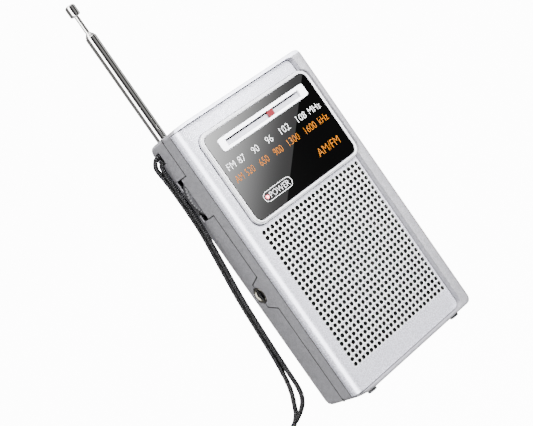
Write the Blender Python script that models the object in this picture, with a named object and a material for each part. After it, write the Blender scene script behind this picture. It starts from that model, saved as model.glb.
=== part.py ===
"""Pocket transistor radio, standing upright: front at -Y, +X to the right, +Z up, feet on z = 0.

Every size below is in millimetres; meshes are scaled to metres as they are made.  The case is a front
shell and a rear shell that meet at a stepped parting line.  The tuning wheel turns a cord drum, the cord
carries the pointer behind the dial, and the telescopic antenna folds into a channel along the top.
"""
import math

import bmesh
import bpy
from mathutils import Vector

MM = 0.001

# Case
HALF_W = 33.3
FRONT = -14.2
BACK = 14.2
FOOT_H = 1.0
BASE = FOOT_H
TOP = 119.5
WALL = 1.6
GAP = 0.3
PARTING = 0.1
CORNER_R = 2.2
FRONT_LEFT_R = 7.5
FRONT_RIGHT_R = 4.5
FRONT_LIP_R = 1.1
REAR_R = 4.0

# Front panel, bent round the left edge
PANEL_FACE = -11.5
PANEL_T = 0.9
PANEL_RIGHT = 26.6
PANEL_BOTTOM = 2.5
PANEL_TOP = 117.9
PANEL_BEND_R = 5.0
PANEL_CORNER_R = 2.2
BEND_X = -HALF_W + PANEL_BEND_R
BEND_Y = PANEL_FACE + PANEL_BEND_R
FRONT_WALL = -9.8
FRONT_WALL_T = 1.4

# Dial
BEZEL = (-28.4, 29.0, 72.75, 112.3)
BEZEL_R = 4.3
BEZEL_RIM = 1.3
BEZEL_FACE = -13.6
LENS_FACE = -13.4
SLOT_FRAME = (-22.2, 23.6, 102.3, 107.45)
SLOT = (-19.1, 20.3, 103.4, 106.0)
LED_X = -17.9
LED_Z = 80.0

# Thumbwheels: volume on the left, tuning on the right
WHEEL_REACH = 34.9
VOLUME_R = 11.5
TUNING_R = 13.0
VOLUME_X = VOLUME_R - WHEEL_REACH
TUNING_X = WHEEL_REACH - TUNING_R
WHEEL_Z = 94.5
WHEEL_Y = (5.0, 7.3)
WHEEL_SLOT = (4.7, 8.6, 85.6, 103.3)
TAB_END = 4.7

# Dial drive: drum on the tuning wheel, idler at the far end of the cord
CORD_PLANE = 3.8
CORD_R = 0.35
DRUM_R = 9.3
IDLER_R = 2.5
IDLER_X = -18.0
CORD_TOP = WHEEL_Z + DRUM_R
POINTER_X = 4.6
STEM_Z = 105.6

# Earphone jack in the left side
JACK_Y = 6.16
JACK_Z = 51.2
JACK_RING_R = 3.25
JACK_BORE_R = 1.8

# Speaker, board and batteries
SPEAKER = (-0.9, 43.0)
BOARD_Y = (1.0, 2.4)
TRAY = (-29.6, 29.6, -3.4, 12.3, 3.0, 35.0)
TRAY_T = 1.2
DOOR = (-27.2, 27.2, 5.8, 32.7)
DOOR_T = 1.5
SCREW_X = 28.2
SCREW_Z = (39.5, 77.5)

# Antenna: fork, tongue, four tubes and a tip rod, folding towards +X into the channel
MAST_X = -26.8
MAST_Y = 10.0
HINGE_Z = 115.0
CHANNEL = (-29.6, 6.4, 111.0)
FORK_R = 2.5
TUBES = ((2.25, 2.0), (1.92, 1.67), (1.59, 1.34), (1.26, 1.01))
TUBE_TOPS = (166.3, 167.0, 167.4, 167.8)
TUBE_FOOT = 117.7
ROD_R = 0.87
CAP_R = 2.1
CAP_Z = (175.5, 180.3)

# Band switch in the right side
SWITCH_Y = 6.4
SWITCH_Z = 66.0

# Wrist strap: one cord whose two ends go into the hole in the left side
STRAP_D = 1.9
STRAP_HOLE = (6.9, 9.5, 111.3, 116.2)
STRAP_BAR = (-30.5, 8.2)
STRAP_STEP = 4.7
STRAP_END_STEP = 1.5
STRAP_END_STEPS = 7
STRAP_ROUTE = (
    (-31.4, 8.2, 112.75), (-32.4, 8.2, 112.75), (-33.6, 8.25, 112.5), (-34.7, 8.4, 111.3),
    (-34.95, 8.7, 108.6), (-34.85, 9.0, 102.0), (-34.85, 9.0, 95.0), (-34.95, 9.0, 88.0),
    (-35.4, 9.0, 81.0), (-37.0, 9.0, 68.0), (-38.65, 9.0, 54.2), (-39.75, 9.0, 38.0),
    (-40.4, 9.0, 24.0), (-40.9, 9.0, 14.4), (-42.9, 8.9, 9.9), (-47.0, 8.7, 7.2),
    (-52.6, 7.9, 5.5), (-58.5, 6.6, 3.1), (-65.0, 5.2, 1.3), (-72.5, 4.5, 1.0),
    (-80.0, 5.6, 1.0), (-85.6, 9.4, 1.0), (-86.8, 14.8, 1.0), (-82.8, 18.8, 1.0),
    (-76.0, 19.8, 1.0), (-68.5, 17.9, 1.0), (-61.5, 14.8, 1.1), (-55.6, 12.6, 2.2),
    (-50.8, 11.5, 4.4), (-47.6, 11.1, 6.9), (-45.6, 11.0, 10.0), (-42.7, 11.0, 16.6),
    (-41.1, 11.0, 26.0), (-40.1, 11.0, 38.0), (-38.95, 11.0, 54.2), (-37.3, 11.0, 68.0),
    (-35.7, 11.0, 81.0), (-35.25, 11.0, 88.0), (-35.15, 11.0, 95.0), (-35.2, 11.0, 102.0),
    (-35.6, 10.8, 107.6), (-36.3, 10.0, 111.6), (-35.5, 8.8, 114.1), (-33.9, 8.25, 114.85),
    (-32.4, 8.2, 114.85), (-31.4, 8.2, 114.85),
)


# ---------------------------------------------------------------- making shapes

def on_axis(axis, u, v, w):
    """Places (u, v) across an axis and w along it."""
    return {"x": (w, u, v), "y": (u, w, v), "z": (u, v, w)}[axis]


def prism(outline, axis, start, end):
    """A closed outline, extruded straight along one axis."""
    bm = bmesh.new()
    lower = [bm.verts.new(on_axis(axis, u, v, start)) for u, v in outline]
    upper = [bm.verts.new(on_axis(axis, u, v, end)) for u, v in outline]
    bm.faces.new(lower)
    bm.faces.new(upper)
    for i in range(len(outline)):
        j = (i + 1) % len(outline)
        bm.faces.new((lower[i], lower[j], upper[j], upper[i]))
    bmesh.ops.recalc_face_normals(bm, faces=bm.faces)
    return bm


def block(x0, x1, y0, y1, z0, z1):
    """A plain box between two corners."""
    return prism(((x0, z0), (x1, z0), (x1, z1), (x0, z1)), "y", y0, y1)


def arc(centre, radius, start_deg, end_deg, steps):
    """Points along an arc, both ends included."""
    points = []
    for k in range(steps + 1):
        angle = math.radians(start_deg + (end_deg - start_deg) * k / steps)
        points.append((centre[0] + radius * math.cos(angle), centre[1] + radius * math.sin(angle)))
    return points


def circle(centre, radius, sides=24):
    """A closed circle of points."""
    return arc(centre, radius, 0, 360 - 360 / sides, sides - 1)


def rounded(u0, u1, v0, v1, radius, steps=4):
    """A rectangle with four round corners."""
    r = radius
    outline = arc((u1 - r, v1 - r), r, 0, 90, steps)
    outline += arc((u0 + r, v1 - r), r, 90, 180, steps)
    outline += arc((u0 + r, v0 + r), r, 180, 270, steps)
    outline += arc((u1 - r, v0 + r), r, 270, 360, steps)
    return outline


def turned(profile, axis, centre, sides=32):
    """A profile of (radius, place along the axis), turned round a line through centre."""
    bm = bmesh.new()
    rings = []
    for radius, along in profile:
        ring = []
        for k in range(sides if radius > 0 else 1):
            angle = math.tau * k / sides
            u = centre[0] + radius * math.cos(angle)
            v = centre[1] + radius * math.sin(angle)
            ring.append(bm.verts.new(on_axis(axis, u, v, along)))
        rings.append(ring)
    for i, a in enumerate(rings):
        b = rings[(i + 1) % len(rings)]
        if len(a) == len(b) == 1:
            continue
        for k in range(sides):
            corners = (a[k % len(a)], a[(k + 1) % len(a)], b[(k + 1) % len(b)], b[k % len(b)])
            bm.faces.new(list(dict.fromkeys(corners)))
    bmesh.ops.recalc_face_normals(bm, faces=bm.faces)
    return bm


def rod(axis, centre, radius, start, end, sides=24):
    """A plain round bar."""
    return turned(((0, start), (radius, start), (radius, end), (0, end)), axis, centre, sides)


def tube(axis, centre, outer, inner, start, end, sides=24):
    """A round tube, open at both ends."""
    return turned(((inner, start), (outer, start), (outer, end), (inner, end)), axis, centre, sides)


def grown(outline, distance):
    """A convex outline, given anticlockwise, with every side moved out by a distance."""
    lines = []
    for i, (u, v) in enumerate(outline):
        nu, nv = outline[(i + 1) % len(outline)]
        length = math.hypot(nu - u, nv - v)
        normal = ((nv - v) / length, (u - nu) / length)
        lines.append((normal, normal[0] * u + normal[1] * v + distance))
    points = []
    for i, (b, bd) in enumerate(lines):
        a, ad = lines[i - 1]
        det = a[0] * b[1] - a[1] * b[0]
        points.append(((ad * b[1] - bd * a[1]) / det, (a[0] * bd - b[0] * ad) / det))
    return points


# ---------------------------------------------------------------- making objects

def finish(name, colour, roughness, metallic=0.0):
    """A Principled material."""
    material = bpy.data.materials.new(name)
    material.use_nodes = True
    shader = material.node_tree.nodes["Principled BSDF"]
    shader.inputs["Base Color"].default_value = (*colour, 1.0)
    shader.inputs["Roughness"].default_value = roughness
    shader.inputs["Metallic"].default_value = metallic
    return material


def piece(name, bm, material, origin=(0, 0, 0), smooth=30):
    """Turns a mesh in millimetres into a named object, with its origin at a given place."""
    bmesh.ops.translate(bm, verts=bm.verts, vec=-Vector(origin))
    bmesh.ops.scale(bm, verts=bm.verts, vec=(MM, MM, MM))
    mesh = bpy.data.meshes.new(name)
    bm.to_mesh(mesh)
    bm.free()
    mesh.materials.append(material)
    mesh.shade_smooth()
    mesh.set_sharp_from_angle(angle=math.radians(smooth))
    obj = bpy.data.objects.new(name, mesh)
    obj.location = Vector(origin) * MM
    bpy.context.scene.collection.objects.link(obj)
    return obj


def tool(name, bm):
    """A shape that only cuts or joins; it is not part of the radio."""
    obj = piece(name, bm, GREY)
    obj.hide_render = True
    obj.display_type = "WIRE"
    return obj


def combine(obj, operation, *tools):
    """Adds one live Boolean for each tool."""
    for cutter in tools:
        modifier = obj.modifiers.new(cutter.name, "BOOLEAN")
        modifier.operation = operation
        modifier.solver = "EXACT"
        modifier.object = cutter
    return obj


for old in list(bpy.data.objects):
    bpy.data.objects.remove(old, do_unlink=True)

SILVER = finish("silver_paint", (0.62, 0.62, 0.64), 0.35, 0.35)
GREY = finish("grey_plastic", (0.33, 0.33, 0.35), 0.5)
PANEL = finish("silver_panel", (0.68, 0.68, 0.71), 0.35, 0.4)
BLACK_GLOSS = finish("black_gloss", (0.008, 0.008, 0.01), 0.08)
WHITE = finish("white_plastic", (0.8, 0.8, 0.83), 0.35)
BLACK = finish("black_plastic", (0.02, 0.02, 0.022), 0.5)
RED = finish("red_plastic", (0.6, 0.05, 0.06), 0.35)
LED = finish("led_pink", (0.9, 0.3, 0.32), 0.2)
CHROME = finish("chrome", (0.8, 0.8, 0.8), 0.12, 1.0)
STEEL = finish("steel", (0.55, 0.55, 0.56), 0.3, 1.0)
NICKEL = finish("nickel_plate", (0.7, 0.68, 0.62), 0.25, 1.0)
FERRITE = finish("ferrite", (0.05, 0.05, 0.055), 0.6)
COPPER = finish("copper_wire", (0.6, 0.25, 0.1), 0.35, 0.8)
BOARD = finish("board", (0.35, 0.22, 0.08), 0.6)
PAPER = finish("paper_cone", (0.05, 0.05, 0.055), 0.85)
CLOTH = finish("dust_cloth", (0.01, 0.01, 0.01), 0.95)
RUBBER = finish("rubber", (0.03, 0.03, 0.03), 0.8)
BRAID = finish("black_braid", (0.015, 0.015, 0.016), 0.7)


# ---------------------------------------------------------------- case shells

def inset(radius, depth):
    """How far a quarter round has drawn in at a depth below the face it ends on."""
    if depth >= radius:
        return 0.0
    return radius - math.sqrt(radius ** 2 - (radius - depth) ** 2)


def case_block():
    """The outer shape of both shells together: rounded rectangles stacked from front to back."""
    bm = bmesh.new()
    front_depths = (0.0, 0.15, 0.5, 1.1, 1.9, 2.8, 4.5, 5.8, 7.5)
    rear_depths = (4.0, 3.0, 2.0, 1.1, 0.4, 0.0)
    sections = []
    for depth in front_depths:
        sides = (inset(FRONT_LEFT_R, depth), inset(FRONT_RIGHT_R, depth), inset(FRONT_LIP_R, depth))
        sections.append((FRONT + depth, *sides))
    for depth in rear_depths:
        sections.append((BACK - depth, *[inset(REAR_R, depth)] * 3))
    rings = []
    for y, left, right, ends in sections:
        outline = rounded(-HALF_W + left, HALF_W - right, BASE + ends, TOP - ends, CORNER_R, 3)
        rings.append([bm.verts.new((x, y, z)) for x, z in outline])
    for a, b in zip(rings, rings[1:]):
        for i in range(len(a)):
            j = (i + 1) % len(a)
            bm.faces.new((a[i], a[j], b[j], b[i]))
    bm.faces.new(rings[0])
    bm.faces.new(rings[-1])
    bmesh.ops.recalc_face_normals(bm, faces=bm.faces)
    return bm


# The jack's tab on the left side: (y, z), anticlockwise
JACK_TAB = ((-1.0, 43.67), (0.05, 44.0), (6.0, 45.9), (6.0, 56.0), (0.05, 57.95), (-1.0, 58.3))
HALF_GAP = 0.17


def case_tabs(grow, suffix):
    """The parts of the front shell's sides that reach back past the parting line."""
    z0, z1 = WHEEL_SLOT[2], WHEEL_SLOT[3]
    wheel_tab = ((-1.0, z0), (TAB_END + 0.15, z0), (TAB_END + 0.15, z1), (-1.0, z1))
    reach = HALF_W + 3
    return (
        tool("jack_tab_" + suffix, prism(grown(JACK_TAB, grow), "x", -reach, -28.0)),
        tool("left_tab_" + suffix, prism(grown(wheel_tab, grow), "x", -reach, -28.0)),
        tool("right_tab_" + suffix, prism(grown(wheel_tab, grow), "x", 28.0, reach)),
    )


front_region = tool("front_region", block(-40, 40, -20, PARTING - HALF_GAP, -5, 125))
combine(front_region, "UNION", *case_tabs(-HALF_GAP, "solid"))
rear_region = tool("rear_region", block(-40, 40, PARTING + HALF_GAP, 20, -5, 125))
combine(rear_region, "DIFFERENCE", *case_tabs(HALF_GAP, "notch"))

jack_hole = tool("jack_hole", rod("x", (JACK_Y, JACK_Z), JACK_RING_R + GAP, -40, -29.5, 32))


def front_shell():
    """Front shell: recess for the panel, notch for the dial, speaker opening and pointer slit."""
    shell = piece("front_case", case_block(), SILVER)
    combine(shell, "INTERSECT", front_region)
    seat_r = PANEL_BEND_R - PANEL_T - GAP
    seat = [(-40, BEND_Y + GAP), (BEND_X - seat_r, BEND_Y + GAP)]
    seat += arc((BEND_X, BEND_Y), seat_r, 180, 270, 6)
    seat += [(BEND_X + 0.5, FRONT_WALL), (PANEL_RIGHT + GAP, FRONT_WALL), (PANEL_RIGHT + GAP, -20), (-40, -20)]
    recess = tool("panel_recess", prism(seat, "z", PANEL_BOTTOM - GAP, PANEL_TOP + GAP))
    round_right = rounded(-50, PANEL_RIGHT + GAP, PANEL_BOTTOM - GAP, PANEL_TOP + GAP, PANEL_CORNER_R + GAP)
    combine(recess, "INTERSECT", tool("recess_corners", prism(round_right, "y", -25, 0)))
    x0, x1, z0, z1 = BEZEL
    notch = rounded(x0 - GAP, x1 + GAP, z0 - GAP, z1 + GAP, BEZEL_R + GAP)
    hollow = [(-HALF_W + WALL, 8), (-HALF_W + WALL, -4.6), (-30.8, -6.3), (-29.4, -7.7), (-27.8, -8.4)]
    hollow += [(HALF_W - WALL, FRONT_WALL + FRONT_WALL_T), (HALF_W - WALL, 8)]
    s0, s1, s2, s3 = SLOT
    combine(
        shell, "DIFFERENCE", recess,
        tool("dial_notch", prism(notch, "y", -20, PANEL_FACE)),
        tool("front_hollow", prism(hollow, "z", BASE + WALL, TOP - WALL)),
        tool("speaker_opening", rod("y", SPEAKER, 23.0, -12, -6, 40)),
        tool("arm_slit", block(s0 - 0.5, s1 + 0.5, -12, -6, s2 - 0.2, s3 + 0.2)),
        jack_hole,
    )
    for index, z in enumerate(SCREW_Z):
        for side in (-1, 1):
            name = f"front_boss_{index}_{side + 1}"
            boss = tool(name, rod("y", (side * SCREW_X, z), 2.8, FRONT_WALL + 0.4, 2.6, 16))
            combine(shell, "UNION", boss)
            bore = tool(name + "_bore", rod("y", (side * SCREW_X, z), 1.3, -6, 4, 12))
            combine(shell, "DIFFERENCE", bore)
    return shell


def rear_shell():
    """Rear shell: antenna channel, battery opening, wheel and switch slots, screw bosses."""
    shell = piece("rear_case", case_block(), GREY)
    combine(shell, "INTERSECT", rear_region)
    left, front, floor = CHANNEL
    shelf = floor - WALL
    hollow = ((-5, BASE + WALL), (BACK - WALL, BASE + WALL), (BACK - WALL, shelf), (front - WALL, shelf),
              (front - WALL, TOP - WALL), (-5, TOP - WALL))
    combine(shell, "DIFFERENCE", tool("rear_hollow", prism(hollow, "x", -HALF_W + WALL, HALF_W - WALL)))
    for index, z in enumerate(SCREW_Z):
        for side in (-1, 1):
            name = f"rear_boss_{index}_{side + 1}"
            centre = (side * SCREW_X, z)
            combine(shell, "UNION", tool(name, rod("y", centre, 3.6, 3.0, BACK - 1.0, 16)))
            combine(shell, "DIFFERENCE", tool(name + "_head", rod("y", centre, 2.75, 9.0, 20, 20)))
            combine(shell, "DIFFERENCE", tool(name + "_bore", rod("y", centre, 1.4, 0, 12, 12)))
    y0, y1, z0, z1 = WHEEL_SLOT
    h0, h1, h2, h3 = STRAP_HOLE
    d0, d1, d2, d3 = DOOR
    half = HALF_GAP
    combine(
        shell, "DIFFERENCE",
        tool("left_wheel_slot", block(-40, -28, y0 - 1, y1, z0 - half, z1 + half)),
        tool("right_wheel_slot", block(28, 40, y0 - 1, y1, z0 - half, z1 + half)),
        tool("channel", block(left, 40, front, 20, floor, 125)),
        tool("strap_hole", block(-40, left + 1, h0, h1, h2, h3)),
        tool("strap_bar_sockets", rod("z", STRAP_BAR, 0.75, h2 - 0.6, h3 + 0.6, 12)),
        tool("door_opening", block(d0 - GAP, d1 + GAP, 10, 20, d2 - GAP, d3 + GAP)),
        tool("switch_slot", block(28, 40, SWITCH_Y - 1.5, SWITCH_Y + 1.5, SWITCH_Z - 5.2, SWITCH_Z + 5.2)),
        jack_hole,
    )
    return shell


front_shell()
rear_shell()


# ---------------------------------------------------------------- front panel and dial

def front_panel():
    """Silver plate: flat across the front, bent round the left edge, slit for the pointer's stem."""
    r = PANEL_BEND_R
    section = [(PANEL_RIGHT, PANEL_FACE + PANEL_T), (BEND_X, PANEL_FACE + PANEL_T)]
    section += arc((BEND_X, BEND_Y), r - PANEL_T, 270, 180, 6)[1:]
    section += arc((BEND_X, BEND_Y), r, 180, 270, 6)
    section += [(PANEL_RIGHT, PANEL_FACE)]
    panel = piece("front_panel", prism(section, "z", PANEL_BOTTOM, PANEL_TOP), PANEL)
    corners = rounded(-50, PANEL_RIGHT, PANEL_BOTTOM, PANEL_TOP, PANEL_CORNER_R)
    combine(panel, "INTERSECT", tool("panel_corners", prism(corners, "y", -25, 0)))
    slit = tool("panel_slit", block(SLOT[0] + 0.3, SLOT[1] - 0.9, -13, -9, STEM_Z - 0.4, STEM_Z + 0.4))
    return combine(panel, "DIFFERENCE", slit)


front_panel()
piece("dust_cloth", block(-28.0, 26.0, -10.3, -10.05, 10.0, 71.8), CLOTH)


def dial():
    """Bezel ring, black lens with the pointer window, white window frame and the strip behind it."""
    x0, x1, z0, z1 = BEZEL
    rim = BEZEL_RIM
    bezel = piece("dial_bezel", prism(rounded(x0, x1, z0, z1, BEZEL_R, 5), "y", BEZEL_FACE, -11.8), CHROME)
    window = rounded(x0 + rim, x1 - rim, z0 + rim, z1 - rim, BEZEL_R - rim, 5)
    combine(bezel, "DIFFERENCE", tool("bezel_window", prism(window, "y", -20, -5)))
    edge = rim + 0.2
    glass = rounded(x0 + edge, x1 - edge, z0 + edge, z1 - edge, BEZEL_R - edge, 5)
    lens = piece("dial_lens", prism(glass, "y", LENS_FACE, -12.4), BLACK_GLOSS)
    f0, f1, f2, f3 = SLOT_FRAME
    s0, s1, s2, s3 = SLOT
    seat = rounded(f0 - 0.2, f1 + 0.2, f2 - 0.2, f3 + 0.2, 1.3)
    combine(lens, "DIFFERENCE", tool("lens_slot", prism(seat, "y", -20, -5)))
    combine(lens, "DIFFERENCE", tool("led_hole", rod("y", (LED_X, LED_Z), 1.1, -20, -5, 20)))
    frame = piece("slot_frame", prism(rounded(f0, f1, f2, f3, 1.1), "y", -13.75, -12.5), WHITE)
    combine(frame, "DIFFERENCE", tool("frame_slot", block(s0, s1, -20, -5, s2, s3)))
    track = piece("pointer_track", block(f0 + 0.5, f1 - 0.5, -12.2, -11.85, f2 + 0.4, f3 - 0.4), WHITE)
    combine(track, "DIFFERENCE", tool("track_slit", block(s0 + 0.3, s1 - 0.9, -13, -11, STEM_Z - 0.35, STEM_Z + 0.35)))
    led = ((0, -11.9), (0.8, -11.9), (0.8, -13.2), (0.6, -13.5), (0, -13.6))
    piece("power_led", turned(led, "y", (LED_X, LED_Z), 16), LED)


dial()


# ---------------------------------------------------------------- tuning drive

TUNING_AXIS = (TUNING_X, CORD_PLANE, WHEEL_Z)
VOLUME_AXIS = (VOLUME_X, CORD_PLANE, WHEEL_Z)


def thumbwheel(name, axis, radius):
    """Disc with a bored centre and a fluted rim."""
    flutes = round(radius * 5.2)
    outline = []
    for k in range(flutes * 2):
        reach = radius if k % 2 else radius - 0.35
        angle = math.tau * k / (flutes * 2)
        outline.append((axis[0] + reach * math.cos(angle), axis[2] + reach * math.sin(angle)))
    wheel = piece(name, prism(outline, "y", *WHEEL_Y), GREY, axis)
    bore = tool(name + "_bore", rod("y", (axis[0], axis[2]), 1.35, 3, 9, 16))
    return combine(wheel, "DIFFERENCE", bore)


def wheel_screw(name, axis, inner):
    """Screw that holds a thumbwheel to its shaft: pan head with a plain slot."""
    x, _, z = axis
    shape = ((0, inner), (1.1, inner), (1.1, 7.6), (2.6, 7.6), (2.6, 8.4), (1.9, 8.9), (0, 8.9))
    screw = piece(name, turned(shape, "y", (x, z), 16), STEEL, axis)
    slot = tool(name + "_slot", block(x - 3, x + 3, 8.3, 10, z - 0.3, z + 0.3))
    return combine(screw, "DIFFERENCE", slot)


thumbwheel("tuning_wheel", TUNING_AXIS, TUNING_R)
thumbwheel("volume_wheel", VOLUME_AXIS, VOLUME_R)
wheel_screw("tuning_wheel_screw", TUNING_AXIS, 1.0)
wheel_screw("volume_wheel_screw", VOLUME_AXIS, 3.5)

drum_profile = (
    (1.4, 1.0), (2.0, 1.0), (2.0, 2.9), (9.5, 2.9), (9.5, 3.1), (8.9, 3.5),
    (8.9, 4.1), (9.5, 4.5), (9.5, 4.7), (1.4, 4.7),
)
piece("tuning_drum", turned(drum_profile, "y", (TUNING_X, WHEEL_Z), 40), WHITE, TUNING_AXIS)

idler_z = CORD_TOP - IDLER_R
IDLER_AXIS = (IDLER_X, CORD_PLANE, idler_z)
idler_profile = ((1.2, 3.0), (2.8, 3.0), (2.8, 3.1), (2.05, 3.5), (2.05, 4.1), (2.8, 4.5), (2.8, 4.6), (1.2, 4.6))
piece("idler_pulley", turned(idler_profile, "y", (IDLER_X, idler_z), 20), WHITE, IDLER_AXIS)
post = ((0, -8.1), (2.4, -8.1), (2.4, -7.2), (1.0, -7.2), (1.0, 4.8), (0, 4.8))
piece("idler_post", turned(post, "y", (IDLER_X, idler_z), 16), STEEL)


def dial_cord():
    """Endless cord round the drum and the idler, with straight runs between."""
    dx = TUNING_X - IDLER_X
    dz = WHEEL_Z - idler_z
    distance = math.hypot(dx, dz)
    lean = math.degrees(math.atan2(dz, dx))
    spread = math.degrees(math.acos((DRUM_R - IDLER_R) / distance))
    upper = lean + 180 - spread
    lower = lean + 180 + spread
    route = arc((IDLER_X, idler_z), IDLER_R, upper, lower, 8)
    route += arc((TUNING_X, WHEEL_Z), DRUM_R, lower, upper + 360, 20)
    curve = bpy.data.curves.new("dial_cord", "CURVE")
    curve.dimensions = "3D"
    spline = curve.splines.new("POLY")
    spline.points.add(len(route) - 1)
    for point, (x, z) in zip(spline.points, route):
        point.co = (x * MM, CORD_PLANE * MM, z * MM, 1)
    spline.use_cyclic_u = True
    curve.bevel_depth = CORD_R * MM
    curve.bevel_resolution = 1
    curve.materials.append(BLACK)
    bpy.context.scene.collection.objects.link(bpy.data.objects.new("dial_cord", curve))


dial_cord()

POINTER_AXIS = (POINTER_X, CORD_PLANE, CORD_TOP)
pointer = piece("tuning_pointer", block(POINTER_X - 1.5, POINTER_X + 1.5, -13.3, -12.55, 103.55, 105.85), RED, POINTER_AXIS)
stem = tool("pointer_stem", block(POINTER_X - 1.0, POINTER_X + 1.0, -12.8, -9.2, STEM_Z - 0.18, STEM_Z + 0.16))
combine(pointer, "UNION", stem)
arm = piece("pointer_arm", block(POINTER_X - 1.5, POINTER_X + 1.5, -8.9, 4.7, 104.4, 105.8), WHITE, POINTER_AXIS)
combine(arm, "UNION", tool("arm_lip", block(POINTER_X - 1.5, POINTER_X + 1.5, 2.0, 2.6, 103.0, 104.8)))

piece("tuning_capacitor", block(TUNING_X - 7, TUNING_X + 7, -6.3, 0.7, 87.5, 101.5), WHITE)
pot = ((0, 2.7), (4.2, 2.7), (4.2, 4.6), (1.4, 4.6), (1.4, 3.2), (0, 3.2))
piece("volume_control", turned(pot, "y", (VOLUME_X, WHEEL_Z), 24), STEEL)


# ---------------------------------------------------------------- board, ferrite rod, speaker

def circuit_board():
    """Printed board: notched round the case screws, holes for the tuning shaft."""
    edge, neck = 30.5, 24.0
    low, high = SCREW_Z[1] - 4.0, SCREW_Z[1] + 4.0
    outline = [(-edge, 44.0), (edge, 44.0), (edge, low), (neck, low), (neck, high), (edge, high),
               (edge, 99.5), (-edge, 99.5), (-edge, high), (-neck, high), (-neck, low), (-edge, low)]
    board = piece("circuit_board", prism(outline, "y", *BOARD_Y), BOARD)
    return combine(board, "DIFFERENCE", tool("shaft_hole", rod("y", (TUNING_X, WHEEL_Z), 2.6, 0, 4, 16)))


circuit_board()
FERRITE_YZ = (-2.5, 112.4)
piece("ferrite_rod", rod("x", FERRITE_YZ, 3.5, -25, 25, 20), FERRITE)
piece("ferrite_coil", tube("x", FERRITE_YZ, 4.6, 3.8, -16, -4, 20), COPPER)
for side, name in ((-1, "ferrite_clip_left"), (1, "ferrite_clip_right")):
    ring = piece(name, block(side * 21 - 1.2, side * 21 + 1.2, -8.1, 1.8, 107.4, 117.4), WHITE)
    combine(ring, "DIFFERENCE", tool(name + "_bore", rod("x", FERRITE_YZ, 3.8, -30, 30, 20)))

basket = (
    (24.3, -8.1), (24.3, -7.2), (23.4, -7.2), (9.8, -3.85), (0, -3.85),
    (0, -4.5), (9.6, -4.5), (22.8, -7.8), (22.8, -8.1),
)
piece("speaker_frame", turned(basket, "y", SPEAKER, 40), STEEL)
piece("speaker_magnet", turned(((0, -3.5), (7.4, -3.5), (7.4, 0.2), (6.9, 0.7), (0, 0.7)), "y", SPEAKER, 28), STEEL)
cone = (
    (0, -5.1), (7, -5.1), (21.4, -7.9), (22.3, -8.1), (22.3, -8.4), (21.4, -8.4),
    (7, -5.6), (5.5, -6.3), (3.0, -6.9), (0, -7.1),
)
piece("speaker_cone", turned(cone, "y", SPEAKER, 40), PAPER)


# ---------------------------------------------------------------- jack, band switch

def earphone_jack():
    """Jack body on the board, with its bored barrel, and the ring that shows in the case's side."""
    body = piece("earphone_jack", block(-29.4, -18.5, 2.7, 9.6, 47.6, 54.8), BLACK)
    barrel = tool("jack_barrel", rod("x", (JACK_Y, JACK_Z), 2.5, -32.4, -28, 24))
    combine(body, "UNION", barrel)
    combine(body, "DIFFERENCE", tool("jack_bore", rod("x", (JACK_Y, JACK_Z), JACK_BORE_R, -40, -20, 24)))
    ring = ((2.8, -31.0), (JACK_RING_R, -31.0), (JACK_RING_R, -33.2), (2.9, -33.4), (2.3, -32.9), (2.8, -32.4))
    piece("jack_ring", turned(ring, "x", (JACK_Y, JACK_Z), 32), NICKEL)


earphone_jack()
piece("band_switch_body", block(20.5, 30.6, 2.7, 9.8, SWITCH_Z - 6.5, SWITCH_Z + 6.5), STEEL)
SWITCH_REST = SWITCH_Z + 2.4
knob = piece("band_switch_knob", block(31.0, 34.4, SWITCH_Y - 1.2, SWITCH_Y + 1.2, SWITCH_REST - 2.4, SWITCH_REST + 2.4),
             BLACK, (32.0, SWITCH_Y, SWITCH_REST))
for step in (-1, 0, 1):
    z = SWITCH_REST + step * 1.4
    combine(knob, "DIFFERENCE", tool(f"knob_groove_{step + 1}", block(34.0, 35, 0, 12, z - 0.25, z + 0.25)))


# ---------------------------------------------------------------- batteries' bay

def battery_bay():
    """Open-backed tray for two AA cells, its contacts and springs, and the hinged door."""
    x0, x1, y0, y1, z0, z1 = TRAY
    t = TRAY_T
    tray = piece("battery_tray", block(*TRAY), GREY)
    combine(tray, "DIFFERENCE", tool("tray_inside", block(x0 + t, x1 - t, y0 + t, 20, z0 + t, z1 - t)))
    inner = x1 - t
    cells = (z0 + t + 7.4, z1 - t - 7.4)
    mid_y = 5.0
    piece("contact_bridge", block(-inner + GAP, -inner + 0.7, 0.5, 9.5, 5.5, 32.5), NICKEL)
    piece("contact_lower", block(inner - 0.7, inner - GAP, 0.5, 9.5, 6.0, 17.5), NICKEL)
    piece("contact_upper", block(inner - 0.7, inner - GAP, 0.5, 9.5, 20.5, 32.0), NICKEL)
    for name, x, side, z in (("battery_spring_left", -inner + 1.4, 1, cells[0]),
                             ("battery_spring_right", inner - 1.4, -1, cells[1])):
        spring_coil(name, x, side, mid_y, z)
    d0, d1, d2, d3 = DOOR
    door = piece("battery_door", block(d0, d1, BACK - DOOR_T, BACK, d2, d3), GREY, (0, BACK, d2))
    for row in range(3):
        z = d3 - 4.0 - row * 1.6
        combine(door, "DIFFERENCE", tool(f"door_grip_{row}", block(-6, 6, BACK - 0.45, 20, z, z + 0.7)))


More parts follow.
